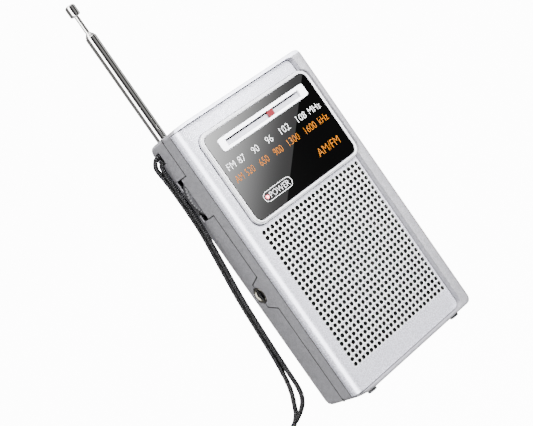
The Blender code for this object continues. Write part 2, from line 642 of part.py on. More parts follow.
def spring_coil(name, x, side, y, z):
    """A tapering contact spring: wide at the plate, narrow where it meets the cell."""
    turns = 3.25
    per_turn = 12
    wire = 0.35
    length = 4.2
    wide = 4.2
    narrow = 2.4
    count = int(turns * per_turn)
    curve = bpy.data.curves.new(name, "CURVE")
    curve.dimensions = "3D"
    spline = curve.splines.new("POLY")
    spline.points.add(count)
    for k in range(count + 1):
        t = k / count
        angle = math.tau * turns * t
        r = wide + (narrow - wide) * t
        place = (x + side * length * t, y + r * math.cos(angle), z + r * math.sin(angle))
        spline.points[k].co = (*(v * MM for v in place), 1)
    curve.bevel_depth = wire * MM
    curve.bevel_resolution = 1
    curve.use_fill_caps = True
    curve.materials.append(NICKEL)
    bpy.context.scene.collection.objects.link(bpy.data.objects.new(name, curve))


battery_bay()


# ---------------------------------------------------------------- case screws and feet

def case_screw(name, x, z):
    """Self-tapping screw, sunk in the back, with a cross recess."""
    shape = ((0, -4.0), (1.1, -3.2), (1.1, 9.3), (2.4, 9.3), (2.4, 10.5), (1.7, 11.0), (0, 11.0))
    screw = piece(name, turned(shape, "y", (x, z), 16), STEEL)
    cross = tool(name + "_cross", block(x - 1.2, x + 1.2, 10.2, 13, z - 0.28, z + 0.28))
    combine(cross, "UNION", tool(name + "_cross_2", block(x - 0.28, x + 0.28, 10.2, 13, z - 1.2, z + 1.2)))
    return combine(screw, "DIFFERENCE", cross)


for level, z in zip(("lower", "upper"), SCREW_Z):
    for word, side in (("left", -1), ("right", 1)):
        case_screw(f"case_screw_{level}_{word}", side * SCREW_X, z)

for row, y in (("front", -11.2), ("rear", 8.0)):
    for word, x in (("left", -27.2), ("right", 22.0)):
        foot = piece(f"foot_{row}_{word}", prism(rounded(x - 1.9, x + 1.9, y - 1.3, y + 1.3, 1.0, 3), "z", 0.0, 1.4), RUBBER)
        pocket = tool(f"foot_pocket_{row}_{word}", prism(rounded(x - 2.1, x + 2.1, y - 1.5, y + 1.5, 1.2, 3), "z", 0.0, 1.7))
        combine(bpy.data.objects["front_case" if row == "front" else "rear_case"], "DIFFERENCE", pocket)


# ---------------------------------------------------------------- antenna

MAST = (MAST_X, MAST_Y)
HINGE = (MAST_X, MAST_Y, HINGE_Z)
MAST_SIDES = 20


def antenna_fork():
    """Slotted stud that turns in the channel's floor and carries the hinge pin."""
    profile = [(MAST_X - FORK_R, 111.3), (MAST_X + FORK_R, 111.3)]
    profile += arc((MAST_X, HINGE_Z), 2.2, 0, 180, 10)
    fork = piece("antenna_fork", rod("z", MAST, FORK_R, 111.3, 118.0, MAST_SIDES), CHROME, HINGE)
    combine(fork, "INTERSECT", tool("fork_side", prism(profile, "y", 0, 20)))
    combine(fork, "DIFFERENCE", tool("fork_slot", block(MAST_X - 4, MAST_X + 4, MAST_Y - 0.95, MAST_Y + 0.95, 112.8, 120)))
    return combine(fork, "DIFFERENCE", tool("fork_bore", rod("y", (MAST_X, HINGE_Z), 0.6, 0, 20, 12)))


antenna_fork()
piece("antenna_pin", rod("y", (MAST_X, HINGE_Z), 0.5, MAST_Y - 2.3, MAST_Y + 2.3, 12), STEEL, HINGE)


def antenna_tongue():
    """Flat tongue on the hinge pin; its round neck is pressed into the outer tube."""
    profile = [(MAST_X + 1.7, 117.6), (MAST_X - 1.7, 117.6)] + arc((MAST_X, HINGE_Z), 1.7, 180, 360, 8)
    tongue = piece("antenna_tongue", prism(profile, "y", MAST_Y - 0.65, MAST_Y + 0.65), CHROME, HINGE)
    neck = ((0, 117.5), (2.1, 117.5), (2.1, 117.75), (1.7, 117.75), (1.7, 118.8), (0, 118.8))
    combine(tongue, "UNION", tool("tongue_neck", turned(neck, "z", MAST, MAST_SIDES)))
    return combine(tongue, "DIFFERENCE", tool("tongue_bore", rod("y", (MAST_X, HINGE_Z), 0.6, 0, 20, 12)))


antenna_tongue()
for number, ((outer, inner), top) in enumerate(zip(TUBES, TUBE_TOPS), 1):
    foot = TUBE_FOOT + 0.3 if number == 1 else 119.0 + 0.4 * number
    lip = top - 0.5
    rolled = ((inner, foot), (outer, foot), (outer, lip), (outer - 0.12, top), (inner, top))
    piece(f"antenna_tube_{number}", turned(rolled, "z", MAST, MAST_SIDES), CHROME, HINGE)
piece("antenna_rod", rod("z", MAST, ROD_R, 128.6, CAP_Z[0] - 0.1, MAST_SIDES), CHROME, HINGE)
cap = ((0, CAP_Z[0] + 0.2), (CAP_R - 0.25, CAP_Z[0] + 0.2), (CAP_R, CAP_Z[0] + 0.5),
       (CAP_R, CAP_Z[1] - 0.5), (CAP_R - 0.5, CAP_Z[1]), (0, CAP_Z[1]))
piece("antenna_cap", turned(cap, "z", MAST, MAST_SIDES), CHROME, HINGE)


# ---------------------------------------------------------------- wrist strap

def smooth_route(points):
    """Places on a smooth curve through the given points, closer together at both ends."""
    knots = [Vector(p) for p in points]
    dense = []
    fine = 12
    for i in range(len(knots) - 1):
        before = knots[i - 1] if i else knots[0] * 2 - knots[1]
        after = knots[i + 2] if i + 2 < len(knots) else knots[-1] * 2 - knots[-2]
        for k in range(fine):
            t = k / fine
            a = 2 * knots[i]
            b = knots[i + 1] - before
            c = 2 * before - 5 * knots[i] + 4 * knots[i + 1] - after
            d = 3 * knots[i] - before - 3 * knots[i + 1] + after
            dense.append((a + b * t + c * t ** 2 + d * t ** 3) / 2)
    dense.append(knots[-1])
    lengths = [0.0]
    for a, b in zip(dense, dense[1:]):
        lengths.append(lengths[-1] + (b - a).length)
    ends = STRAP_END_STEP * STRAP_END_STEPS
    middle = lengths[-1] - 2 * ends
    count = round(middle / STRAP_STEP)
    stops = [STRAP_END_STEP * k for k in range(STRAP_END_STEPS)]
    stops += [ends + middle * k / count for k in range(count + 1)]
    stops += [lengths[-1] - STRAP_END_STEP * k for k in reversed(range(STRAP_END_STEPS))]
    places = []
    i = 0
    for want in stops:
        while i < len(dense) - 2 and lengths[i + 1] < want:
            i += 1
        share = (want - lengths[i]) / (lengths[i + 1] - lengths[i])
        places.append(dense[i].lerp(dense[i + 1], share))
    return places


piece("strap_bar", rod("z", STRAP_BAR, 0.6, STRAP_HOLE[2] - 0.4, STRAP_HOLE[3] + 0.4, 12), STEEL)


def wrist_strap():
    """Braided cord, doubled, from the strap hole down to the floor and back."""
    places = smooth_route(STRAP_ROUTE)
    curve = bpy.data.curves.new("wrist_strap", "CURVE")
    curve.dimensions = "3D"
    spline = curve.splines.new("POLY")
    spline.points.add(len(places) - 1)
    for point, place in zip(spline.points, places):
        point.co = (*(place * MM), 1)
    curve.bevel_depth = STRAP_D / 2 * MM
    curve.bevel_resolution = 2
    curve.use_fill_caps = True
    curve.materials.append(BRAID)
    bpy.context.scene.collection.objects.link(bpy.data.objects.new("wrist_strap", curve))


wrist_strap()
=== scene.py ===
"""Pocket transistor radio: looks, fine geometry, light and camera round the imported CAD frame.

Lengths in the sections are in millimetres, in the CAD's own frame: front at -Y, +X to the right,
+Z up, feet on z = 0.
"""
import math

import bmesh
import bpy
from mathutils import Matrix, Vector


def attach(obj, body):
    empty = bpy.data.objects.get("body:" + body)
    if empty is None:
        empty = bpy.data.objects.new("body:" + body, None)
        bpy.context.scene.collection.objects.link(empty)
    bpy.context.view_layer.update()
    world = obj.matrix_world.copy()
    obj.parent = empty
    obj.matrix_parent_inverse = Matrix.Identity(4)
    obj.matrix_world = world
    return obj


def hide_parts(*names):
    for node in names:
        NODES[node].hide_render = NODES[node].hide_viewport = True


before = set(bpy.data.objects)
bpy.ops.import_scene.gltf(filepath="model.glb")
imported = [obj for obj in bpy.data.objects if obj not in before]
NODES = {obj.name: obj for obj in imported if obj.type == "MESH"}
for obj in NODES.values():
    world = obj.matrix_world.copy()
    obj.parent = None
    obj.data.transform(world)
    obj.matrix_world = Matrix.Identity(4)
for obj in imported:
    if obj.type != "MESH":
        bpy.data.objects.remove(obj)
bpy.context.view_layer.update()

# ---------------------------------------------------------------- case shells
# Two shells moulded in grey plastic and sprayed with fine-flake paint, held together by screws from behind.
# The front shell's raised top is sprayed silver like the panel.  Inside the wheel slots the paint is near
# black, as painted shade.

MM = 0.001
SILVER = (0.62, 0.62, 0.70)
GREY = (0.215, 0.212, 0.228)
SLOT_SHADE = (0.006, 0.006, 0.007)
FLAKE_SIZE = 0.4
SHELL_EDGE = 0.14
RAISED_FOOT = 117.7
RAISED_BACK = -9.5
SLOT_DEEPER_THAN = 32.7
SLOT_Y = (3.6, 9.2)
SLOT_Z = (84.0, 104.5)


class Value:
    """A shader socket that takes part in arithmetic."""

    def __init__(self, graph, socket):
        self.graph = graph
        self.socket = socket

    def math(self, operation, *others):
        sockets = dict(enumerate((self, *others)))
        return self.graph.node("ShaderNodeMath", sockets, operation=operation)

    def __add__(self, other):
        return self.math("ADD", other)

    def __sub__(self, other):
        return self.math("SUBTRACT", other)

    def __mul__(self, other):
        return self.math("MULTIPLY", other)

    def __truediv__(self, other):
        return self.math("DIVIDE", other)

    def __rsub__(self, other):
        return self.graph.node("ShaderNodeMath", {0: other, 1: self}, operation="SUBTRACT")

    __radd__ = __add__
    __rmul__ = __mul__

    def between(self, low, high):
        """0 below low, 1 above high, smooth in between."""
        sockets = {"Value": self, "From Min": low, "From Max": high}
        return self.graph.node("ShaderNodeMapRange", sockets, interpolation_type="SMOOTHSTEP")

    def within(self, low, high, edge):
        """1 from low to high: it rises over a width of edge after low and falls over one after high."""
        return self.between(low, low + edge) * (1 - self.between(high, high + edge))

    def scaled(self, low, high):
        """A value from 0 to 1 taken to low to high."""
        return self * (high - low) + low


class Graph:
    """The nodes of one material, with coordinates in millimetres, or of the surroundings, with directions."""

    def __init__(self, name, coordinates="Object", world=None):
        self.material = world or bpy.data.materials.new(name)
        self.material.use_nodes = True
        self.tree = self.material.node_tree
        self.shader = self.tree.nodes["Background" if world else "Principled BSDF"]
        place = self.tree.nodes.new("ShaderNodeTexCoord").outputs[coordinates]
        sockets = {0: Value(self, place), "Scale": 1.0 if world else 1 / MM}
        self.place = self.node("ShaderNodeVectorMath", sockets, operation="SCALE")

    def feed(self, socket, value):
        if isinstance(value, Value):
            self.tree.links.new(value.socket, socket)
        else:
            socket.default_value = value

    def node(self, kind, sockets=None, output=0, **settings):
        node = self.tree.nodes.new(kind)
        for key, value in settings.items():
            setattr(node, key, value)
        for key, value in (sockets or {}).items():
            self.feed(node.inputs[key], value)
        return Value(self, node.outputs[output])

    def axes(self):
        """The three coordinates as numbers, in millimetres."""
        split = self.node("ShaderNodeSeparateXYZ", {0: self.place})
        return [Value(self, out) for out in split.socket.node.outputs]

    def noise(self, size, detail=2.0, rough=0.5, stretch=(1, 1, 1)):
        """Smooth noise whose blotches are about size millimetres across."""
        scale = tuple(s / size for s in stretch)
        vector = self.node("ShaderNodeVectorMath", {0: self.place, 1: scale}, operation="MULTIPLY")
        sockets = {"Vector": vector, "Scale": 1.0, "Detail": detail, "Roughness": rough}
        return self.node("ShaderNodeTexNoise", sockets)

    def cells(self, size):
        """A random number for each cell, of cells about size millimetres across."""
        found = self.node("ShaderNodeTexVoronoi", {"Vector": self.place, "Scale": 1.0 / size}, 1)
        return self.node("ShaderNodeSeparateColor", {0: found})

    def mix(self, a, b, factor):
        """Colour a turning into colour b."""
        sockets = {0: factor, 6: colour(a), 7: colour(b)}
        return self.node("ShaderNodeMix", sockets, 2, data_type="RGBA")

    def bump(self, height, depth, normal=None):
        """A normal from a height of 0 to 1 that is depth millimetres deep."""
        sockets = {"Height": height, "Distance": depth * MM, "Strength": 1.0}
        if normal:
            sockets["Normal"] = normal
        return self.node("ShaderNodeBump", sockets)

    def put(self, **inputs):
        """Sets the shader's inputs: Base_Color=..., Roughness=..."""
        for key, value in inputs.items():
            self.feed(self.shader.inputs[key.replace("_", " ")], colour(value))
        return self.material


def colour(value):
    """Adds the alpha to a plain colour."""
    return (*value, 1.0) if isinstance(value, tuple) and len(value) == 3 else value


def tint(base, factor):
    """A colour made lighter or darker."""
    return tuple(min(1.0, channel * factor) for channel in base)


def flake_coat(g, base, depth):
    """Fine-flake paint: its colour, how bright each flake is, and its normal."""
    sparkle = g.cells(FLAKE_SIZE)
    broad = g.noise(14.0, 2.0)
    peel = g.noise(0.8, 2.0)
    shade = g.mix(tint(base, 1 - depth), tint(base, 1 + depth), sparkle)
    shade = g.mix(shade, tint(base, 0.93), broad.between(0.4, 0.75) * 0.5)
    return shade, sparkle, g.bump(sparkle * 0.25 + peel * 0.75, 0.012)


def shell_coat(name):
    """Grey flake paint, silver on the raised top, and painted shade, near black, inside the wheel slots."""
    g = Graph(name)
    shade, sparkle, normal = flake_coat(g, GREY, 0.28)
    x, y, z = g.axes()
    raised = z.between(RAISED_FOOT, RAISED_FOOT + 0.3) * (1 - y.between(RAISED_BACK, RAISED_BACK + 0.5))
    shade = g.mix(shade, SILVER, raised)
    # Painted shade: near black where the skin lies inside the wheel slots, for the shadow in the recess.
    inside = 1 - x.math("ABSOLUTE").between(SLOT_DEEPER_THAN, SLOT_DEEPER_THAN + 0.3)
    shade = g.mix(shade, SLOT_SHADE, inside * y.within(*SLOT_Y, 0.3) * z.within(*SLOT_Z, 0.5))
    return g.put(Base_Color=shade, Roughness=sparkle.scaled(0.36, 0.52), Metallic=0.3, Normal=normal)


def as_mesh(name, bm):
    """A bmesh written out as a mesh, in the units it has."""
    mesh = bpy.data.meshes.new(name)
    bm.to_mesh(mesh)
    bm.free()
    return mesh


def placed(name, data):
    """A new object in the scene that holds a mesh, a curve, a light or a camera."""
    obj = bpy.data.objects.new(name, data)
    bpy.context.scene.collection.objects.link(obj)
    return obj


def finished(name, mesh, body, material, replaces=(), smooth=32):
    """Makes a mesh a piece that rides on a body, with edges sharper than smooth degrees left sharp."""
    mesh.materials.clear()
    mesh.materials.append(material)
    mesh.shade_smooth()
    mesh.set_sharp_from_angle(angle=math.radians(smooth))
    obj = placed(name, mesh)
    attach(obj, body)
    if replaces:
        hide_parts(*replaces)
    return obj


def merged(node, whole_faces=True):
    """A CAD node's loose triangles joined into one skin, and into whole flat faces."""
    bm = bmesh.new()
    bm.from_mesh(NODES[node].data)
    bmesh.ops.remove_doubles(bm, verts=bm.verts, dist=1e-6)
    if whole_faces:
        bmesh.ops.dissolve_limit(bm, angle_limit=math.radians(0.5), verts=bm.verts, edges=bm.edges)
    return bm


def softened(node, body, material, width, segments=2):
    """A copy of a CAD piece with its hard edges rounded off over a width."""
    name = node + "_body"
    obj = finished(name, as_mesh(name, merged(node)), body, material, (node,), 180)
    bevel = obj.modifiers.new("edges", "BEVEL")
    bevel.width = width * MM
    bevel.segments = segments
    bevel.angle_limit = math.radians(28)
    bevel.use_clamp_overlap = True
    flat = obj.modifiers.new("flat_faces", "WEIGHTED_NORMAL")
    flat.weight = 100
    flat.keep_sharp = True
    return obj


case_paint = shell_coat("case_paint")
grey_body = shell_coat("grey_body")
softened("front_case", "case", case_paint, SHELL_EDGE)
softened("rear_case", "case", grey_body, SHELL_EDGE)

# ---------------------------------------------------------------- circuit board
# A brown paper board screwed inside the front shell.  It carries the boxed tuning capacitor, the volume
# control, the slide switch, and the ferrite rod with its copper coil, held by two moulded clips.


def moulded(name, base, roughness, speck=0.12, speck_size=0.35, depth=0.015, metallic=0.0):
    """Moulded or painted surface: fine speckle, broad blotches, faint texture and handling marks."""
    g = Graph(name)
    fine = g.noise(speck_size, 3.0, 0.7)
    broad = g.noise(9.0, 3.0)
    rubs = g.noise(3.5, 4.0, 0.6, (1, 1, 0.25)).between(0.58, 0.75)
    shade = g.mix(tint(base, 1 - speck), tint(base, 1 + speck), fine.between(0.3, 0.7))
    shade = g.mix(shade, tint(base, 0.88), broad.between(0.45, 0.8) * 0.5)
    return g.put(
        Base_Color=shade,
        Roughness=fine.scaled(roughness - 0.08, roughness + 0.08) - rubs * 0.07,
        Metallic=metallic,
        Normal=g.bump(fine * 0.7 + broad * 0.3, depth),
    )


def metal(name, base, roughness, stretch=(1, 1, 1), scratch=0.004, size=0.5, tarnish=0.2):
    """Bare or plated metal: fine scratches along one direction, patches of duller surface."""
    g = Graph(name)
    lines = g.noise(size, 4.0, 0.65, stretch)
    patches = g.noise(5.0, 3.0).between(0.45, 0.75)
    shade = g.mix(base, tint(base, 1 - tarnish), patches * 0.6 + lines.between(0.5, 0.8) * 0.25)
    return g.put(
        Base_Color=shade,
        Roughness=lines.scaled(roughness * 0.7, roughness * 1.3) + patches * 0.06,
        Metallic=1.0,
        Normal=g.bump(lines, scratch),
    )


def coated(material, *nodes):
    """Gives CAD pieces that keep their own shape a material."""
    for node in nodes:
        for slot in NODES[node].material_slots:
            slot.material = material


board_brown = moulded("board_brown", (0.30, 0.17, 0.06), 0.55, 0.12, 0.6, 0.01)
white_part = moulded("white_part", (0.25, 0.25, 0.28), 0.3, 0.03, 0.5, 0.006)
steel_plain = metal("steel_plain", (0.55, 0.55, 0.56), 0.3, (1, 1, 1), 0.004, 0.5, 0.25)
ferrite_grey = moulded("ferrite_grey", (0.05, 0.05, 0.055), 0.6, 0.25, 0.6, 0.03)
copper_wire = metal("copper_wire", (0.72, 0.34, 0.14), 0.35, (8, 1, 1), 0.06, 2.0, 0.3)
coated(board_brown, "circuit_board")
coated(white_part, "tuning_capacitor", "ferrite_clip_left", "ferrite_clip_right")
coated(steel_plain, "volume_control", "band_switch_body")
coated(ferrite_grey, "ferrite_rod")
coated(copper_wire, "ferrite_coil")

# ---------------------------------------------------------------- tuning drive
# A drum behind the tuning wheel pulls a black cord round a moulded pulley on a steel post, which draws the
# pointer's arm along its track.

black_part = moulded("black_part", (0.02, 0.02, 0.022), 0.45, 0.2, 0.4, 0.012)
coated(white_part, "tuning_drum", "idler_pulley", "pointer_arm")
coated(steel_plain, "idler_post")
coated(black_part, "dial_cord")

# ---------------------------------------------------------------- speaker
# A black paper cone in a pressed steel frame with its magnet behind, and a thin black cloth glued over the
# back of the grille.

paper_black = moulded("paper_black", (0.03, 0.03, 0.032), 0.9, 0.3, 0.5, 0.05)
# Black cloth behind the grille; the same black also serves as painted shade in the gaps further on.
black_cloth_and_shade = moulded("black_cloth_and_shade", (0.004, 0.004, 0.004), 0.95, 0.4, 0.3, 0.05)
coated(steel_plain, "speaker_frame", "speaker_magnet")
coated(paper_black, "speaker_cone")
coated(black_cloth_and_shade, "dust_cloth")

# ---------------------------------------------------------------- shadow gaps
# The gaps between the two shells and round the front panel, with the shadow in them painted as black strips
# flush with the skin and a little wider than the gaps.  On the left the line steps round the jack, and on
# both sides it steps round the wheel slot.

PARTING = 0.1
GAP_LINE = 0.27
STRIP_TOP = 33.32
STRIP_FOOT = 32.9

# The parting line's corners on each side, as (y, z), in its stretches below and above the wheel slot.
SLOT_STEP = ((PARTING, 85.6), (4.3, 85.6))
UPPER_PARTING = ((4.3, 103.3), (PARTING, 103.3), (PARTING, 119.2))
JACK_STEP = ((PARTING, 44.03), (6.0, 45.9), (6.0, 56.0), (PARTING, 57.93))
LEFT_PARTING = (((PARTING, 1.7), *JACK_STEP, *SLOT_STEP), UPPER_PARTING)
RIGHT_PARTING = (((PARTING, 1.7), *SLOT_STEP), UPPER_PARTING)

# The gaps across the base and the raised top, then the panel's: across its ends, up its right edge, and up
# the left side where its bend ends.
END_SPAN = 31.0
END_GAPS = ((1.6, 2.2), (118.7, 119.35))
PANEL_GAP = 0.2
PANEL_GAP_Y = (-11.35, -10.0)
PANEL_SPAN = (-31.8, 24.4)
PANEL_ENDS = (2.25, 117.95)
PANEL_RIGHT = 26.65
PANEL_RIGHT_Z = (4.6, 115.8)
BEND_GAP_Y = (-6.65, -6.15)
BEND_GAP_Z = (2.6, 117.8)


def loft(bm, rings, close=True, cap=False):
    """Joins equal rings of points into a skin: closed round into a ring, or capped at both ends."""
    loops = [[bm.verts.new(p) for p in ring] for ring in rings]
    pairs = list(zip(loops, loops[1:]))
    if close:
        pairs.append((loops[-1], loops[0]))
    for a, b in pairs:
        for i in range(len(a)):
            j = (i + 1) % len(a)
            bm.faces.new((a[i], a[j], b[j], b[i]))
    if cap:
        bm.faces.new(loops[0])
        bm.faces.new(loops[-1])
    return loops


def block(bm, x0, x1, y0, y1, z0, z1):
    """A box between two corners."""
    made = bmesh.ops.create_cube(bm, size=1.0)["verts"]
    bmesh.ops.scale(bm, verts=made, vec=(x1 - x0, y1 - y0, z1 - z0))
    bmesh.ops.translate(bm, verts=made, vec=((x0 + x1) / 2, (y0 + y1) / 2, (z0 + z1) / 2))
    return bm


def ribbon(bm, points, x0, x1):
    """A strip that follows (y, z) points, standing between x0 and x1."""
    for (y0, z0), (y1, z1) in zip(points, points[1:]):
        length = math.hypot(y1 - y0, z1 - z0)
        u, v = (y1 - y0) / length * GAP_LINE, (z1 - z0) / length * GAP_LINE
        outline = (
            (y0 - u - v, z0 - v + u), (y0 - u + v, z0 - v - u),
            (y1 + u + v, z1 + v - u), (y1 + u - v, z1 + v + u),
        )
        loft(bm, [[(x, y, z) for y, z in outline] for x in (x0, x1)], close=False, cap=True)


def mesh_piece(name, bm, body, material, replaces=(), smooth=32):
    """Makes a bmesh in millimetres a finished piece that rides on a body."""
    bmesh.ops.recalc_face_normals(bm, faces=bm.faces)
    bmesh.ops.scale(bm, verts=bm.verts, vec=(MM, MM, MM))
    return finished(name, as_mesh(name, bm), body, material, replaces, smooth)


# Painted shade: black strips along the partings and round the panel, standing in for the shadow in the gaps.
strips = bmesh.new()
for line in LEFT_PARTING:
    ribbon(strips, line, -STRIP_TOP, -STRIP_FOOT)
for line in RIGHT_PARTING:
    ribbon(strips, line, STRIP_FOOT, STRIP_TOP)
for z0, z1 in END_GAPS:
    block(strips, -END_SPAN, END_SPAN, PARTING - GAP_LINE, PARTING + GAP_LINE, z0, z1)
for z0 in PANEL_ENDS:
    block(strips, *PANEL_SPAN, *PANEL_GAP_Y, z0, z0 + PANEL_GAP)
block(strips, PANEL_RIGHT, PANEL_RIGHT + PANEL_GAP, *PANEL_GAP_Y, *PANEL_RIGHT_Z)
block(strips, -STRIP_TOP, -STRIP_FOOT, *BEND_GAP_Y, *BEND_GAP_Z)
mesh_piece("shadow_strips", strips, "case", black_cloth_and_shade)

# ---------------------------------------------------------------- front panel
# A silver sprayed plate that bends round the left side, snapped into the front shell.  The speaker grille's
# square pattern of round holes is pressed through it, each hole with a pressed rim painted white as a
# highlight, its wall painted black as shade, and a dimple between holes painted darker as shade.

PANEL_FACE = -11.5
PANEL_BACK = -10.6
PITCH = 2.25
COLUMNS = 24
ROWS = 27
GRILLE_LEFT = -27.9
GRILLE_FOOT = 10.585
GRILLE = (GRILLE_LEFT, GRILLE_LEFT + COLUMNS * PITCH, GRILLE_FOOT, GRILLE_FOOT + ROWS * PITCH)
HOLE_R = 0.87
RIM_R = 1.0
HOLE_SIDES = 16
HOLE_SHADE = (0.002, 0.002, 0.002)
RIM_HIGHLIGHT = (1.0, 1.0, 1.0)


def panel_coat():
    """Silver flake paint, with a painted highlight on the hole rims and painted shade in the dimples and hole
    walls.
    """
    g = Graph("panel_paint")
    shade, sparkle, normal = flake_coat(g, SILVER, 0.09)
    x, y, z = g.axes()
    left, right, foot, top = GRILLE
    fade = 0.4
    inside = x.within(left, right - fade, fade) * z.within(foot, top - fade, fade)
    across = ((x - left) / PITCH).math("FRACT") - 0.5
    upward = ((z - foot) / PITCH).math("FRACT") - 0.5
    off_centre = across.math("ABSOLUTE") + upward.math("ABSOLUTE")
    rim = (1 - off_centre.between(0.6, 0.75)) * inside
    dimple = off_centre.between(0.82, 0.95) * inside
    # Painted shade: the hole walls, deeper than the face, black and not metallic.
    wall = y.between(PANEL_FACE + 0.05, PANEL_FACE + 0.09) * inside
    # Painted highlight: white on the pressed rims round the holes.
    shade = g.mix(shade, RIM_HIGHLIGHT, rim)
    # Painted shade: darker silver in the dimples between the holes.
    shade = g.mix(shade, tint(SILVER, 0.8), dimple * 0.5)
    return g.put(
        Base_Color=g.mix(shade, HOLE_SHADE, wall),
        Roughness=sparkle.scaled(0.20, 0.36),
        Metallic=(1 - wall) * 0.62,
        Normal=g.bump(dimple, 0.12, normal),
    )


panel_paint = panel_coat()


def evaluated(obj):
    """A plain mesh of an object with its modifiers applied."""
    depsgraph = bpy.context.evaluated_depsgraph_get()
    return bpy.data.meshes.new_from_object(obj.evaluated_get(depsgraph))


def arc(centre, radius, start, end, steps):
    """Points on an arc, in degrees, both ends included."""
    angles = [math.radians(start + (end - start) * k / steps) for k in range(steps + 1)]
    return [(centre[0] + radius * math.cos(a), centre[1] + radius * math.sin(a)) for a in angles]


def panel_plate():
    """The plate round the grille: the CAD plate with a window cut out."""
    mesh = as_mesh("panel_plate", merged("front_panel"))
    plate = finished("panel_plate", mesh, "case", panel_paint, ("front_panel",), 30)
    x0, x1, z0, z1 = GRILLE
    window = block(bmesh.new(), x0, x1, -20, -5, z0, z1)
    bmesh.ops.scale(window, verts=window.verts, vec=(MM, MM, MM))
    cutter = placed("grille_window", as_mesh("grille_window", window))
    cut = plate.modifiers.new("window", "BOOLEAN")
    cut.object = cutter
    cut.solver = "EXACT"
    plate_mesh = evaluated(plate)
    plate.modifiers.clear()
    plate.data = plate_mesh
    bpy.data.objects.remove(cutter, do_unlink=True)
    plate_mesh.shade_smooth()
    plate_mesh.set_sharp_from_angle(angle=math.radians(30))


def grille_cell():
    """One square of the grille: flat border, pressed rim and the hole's wall."""
    half = PITCH / 2
    square = []
    for k in range(HOLE_SIDES):
        angle = math.tau * k / HOLE_SIDES
        reach = half / max(abs(math.cos(angle)), abs(math.sin(angle)))
        square.append((reach * math.cos(angle), PANEL_FACE, reach * math.sin(angle)))
    rings = [square]
    for radius, y in ((RIM_R, PANEL_FACE), (HOLE_R + 0.03, PANEL_FACE + 0.05), (HOLE_R, PANEL_BACK)):
        circle = arc((0, 0), radius, 0, 360 - 360 / HOLE_SIDES, HOLE_SIDES - 1)
        rings.append([(u, y, v) for u, v in circle])
    bm = bmesh.new()
    loft(bm, rings, close=False)
    for face in bm.faces:
        face.normal_update()
    if sum(f.normal.y for f in bm.faces) > 0:
        bmesh.ops.reverse_faces(bm, faces=bm.faces)
    bmesh.ops.scale(bm, verts=bm.verts, vec=(MM, MM, MM))
    return placed("grille_cell", as_mesh("grille_cell", bm))


def laid_out(name, unit, columns, rows, step, material):
    """Geometry Nodes: a unit repeated over an upright grid, made real and joined edge to edge."""
    tree = bpy.data.node_groups.new(name, "GeometryNodeTree")
    interface = tree.interface
    interface.new_socket("Geometry", in_out="INPUT", socket_type="NodeSocketGeometry")
    inputs = {}
    kinds = {"Columns": "NodeSocketInt", "Rows": "NodeSocketInt", "Step": "NodeSocketFloat"}
    for label, kind in kinds.items():
        inputs[label] = interface.new_socket(label, in_out="INPUT", socket_type=kind)
    interface.new_socket("Geometry", in_out="OUTPUT", socket_type="NodeSocketGeometry")
    nodes = tree.nodes
    link = tree.links.new
    source = nodes.new("NodeGroupInput")
    sink = nodes.new("NodeGroupOutput")
    grid = nodes.new("GeometryNodeMeshGrid")
    link(source.outputs["Columns"], grid.inputs["Vertices X"])
    link(source.outputs["Rows"], grid.inputs["Vertices Y"])
    for count, size in (("Columns", "Size X"), ("Rows", "Size Y")):
        less = nodes.new("ShaderNodeMath")
        less.operation = "SUBTRACT"
        less.inputs[1].default_value = 1.0
        times = nodes.new("ShaderNodeMath")
        times.operation = "MULTIPLY"
        link(source.outputs[count], less.inputs[0])
        link(less.outputs[0], times.inputs[0])
        link(source.outputs["Step"], times.inputs[1])
        link(times.outputs[0], grid.inputs[size])
    stand = nodes.new("GeometryNodeTransform")
    stand.inputs["Rotation"].default_value = (math.pi / 2, 0, 0)
    info = nodes.new("GeometryNodeObjectInfo")
    info.inputs["Object"].default_value = unit
    scatter = nodes.new("GeometryNodeInstanceOnPoints")
    real = nodes.new("GeometryNodeRealizeInstances")
    merge = nodes.new("GeometryNodeMergeByDistance")
    merge.inputs["Distance"].default_value = 0.00001
    paint = nodes.new("GeometryNodeSetMaterial")
    paint.inputs["Material"].default_value = material
    link(grid.outputs["Mesh"], stand.inputs["Geometry"])
    link(stand.outputs[0], scatter.inputs["Points"])
    link(info.outputs["Geometry"], scatter.inputs["Instance"])
    for a, b in ((scatter, real), (real, merge), (merge, paint), (paint, sink)):
        link(a.outputs[0], b.inputs[0])
    holder = placed(name, bpy.data.meshes.new(name))
    modifier = holder.modifiers.new(name, "NODES")
    modifier.node_group = tree
    for label, value in (("Columns", columns), ("Rows", rows), ("Step", step * MM)):
        modifier[inputs[label].identifier] = value
    mesh = evaluated(holder)
    bpy.data.objects.remove(holder, do_unlink=True)
    bpy.data.objects.remove(unit, do_unlink=True)
    return mesh


panel_plate()
grille_mesh = laid_out("grille_cells", grille_cell(), COLUMNS, ROWS, PITCH, panel_paint)
grille_middle = Vector(((GRILLE[0] + GRILLE[1]) / 2, 0, (GRILLE[2] + GRILLE[3]) / 2))
grille_mesh.transform(Matrix.Translation(grille_middle * MM))
finished("speaker_grille", grille_mesh, "case", panel_paint, (), 40)

# ---------------------------------------------------------------- dial bezel
# A bright moulded frame with a stepped face, pressed into the opening of the front panel from outside.  A
# fine black ring round its foot is painted shade, for the shadow in the gap there.

BEZEL = (-28.4, 29.0, 72.75, 112.3)
BEZEL_R = 4.3
BEZEL_STEPS = (
    (0.0, -11.85), (0.0, -12.9), (0.1, -13.15), (0.28, -13.2), (0.36, -13.05), (0.46, -13.05), (0.54, -13.5),
    (0.62, -13.6), (0.82, -13.6), (0.92, -13.48), (1.26, -13.36), (1.3, -13.2), (1.3, -11.85),
)
FOOT_SHADE = 0.22
FOOT_SHADE_STEPS = ((0.0, -11.52), (0.0, -11.62), (0.2, -11.62), (0.2, -11.52))


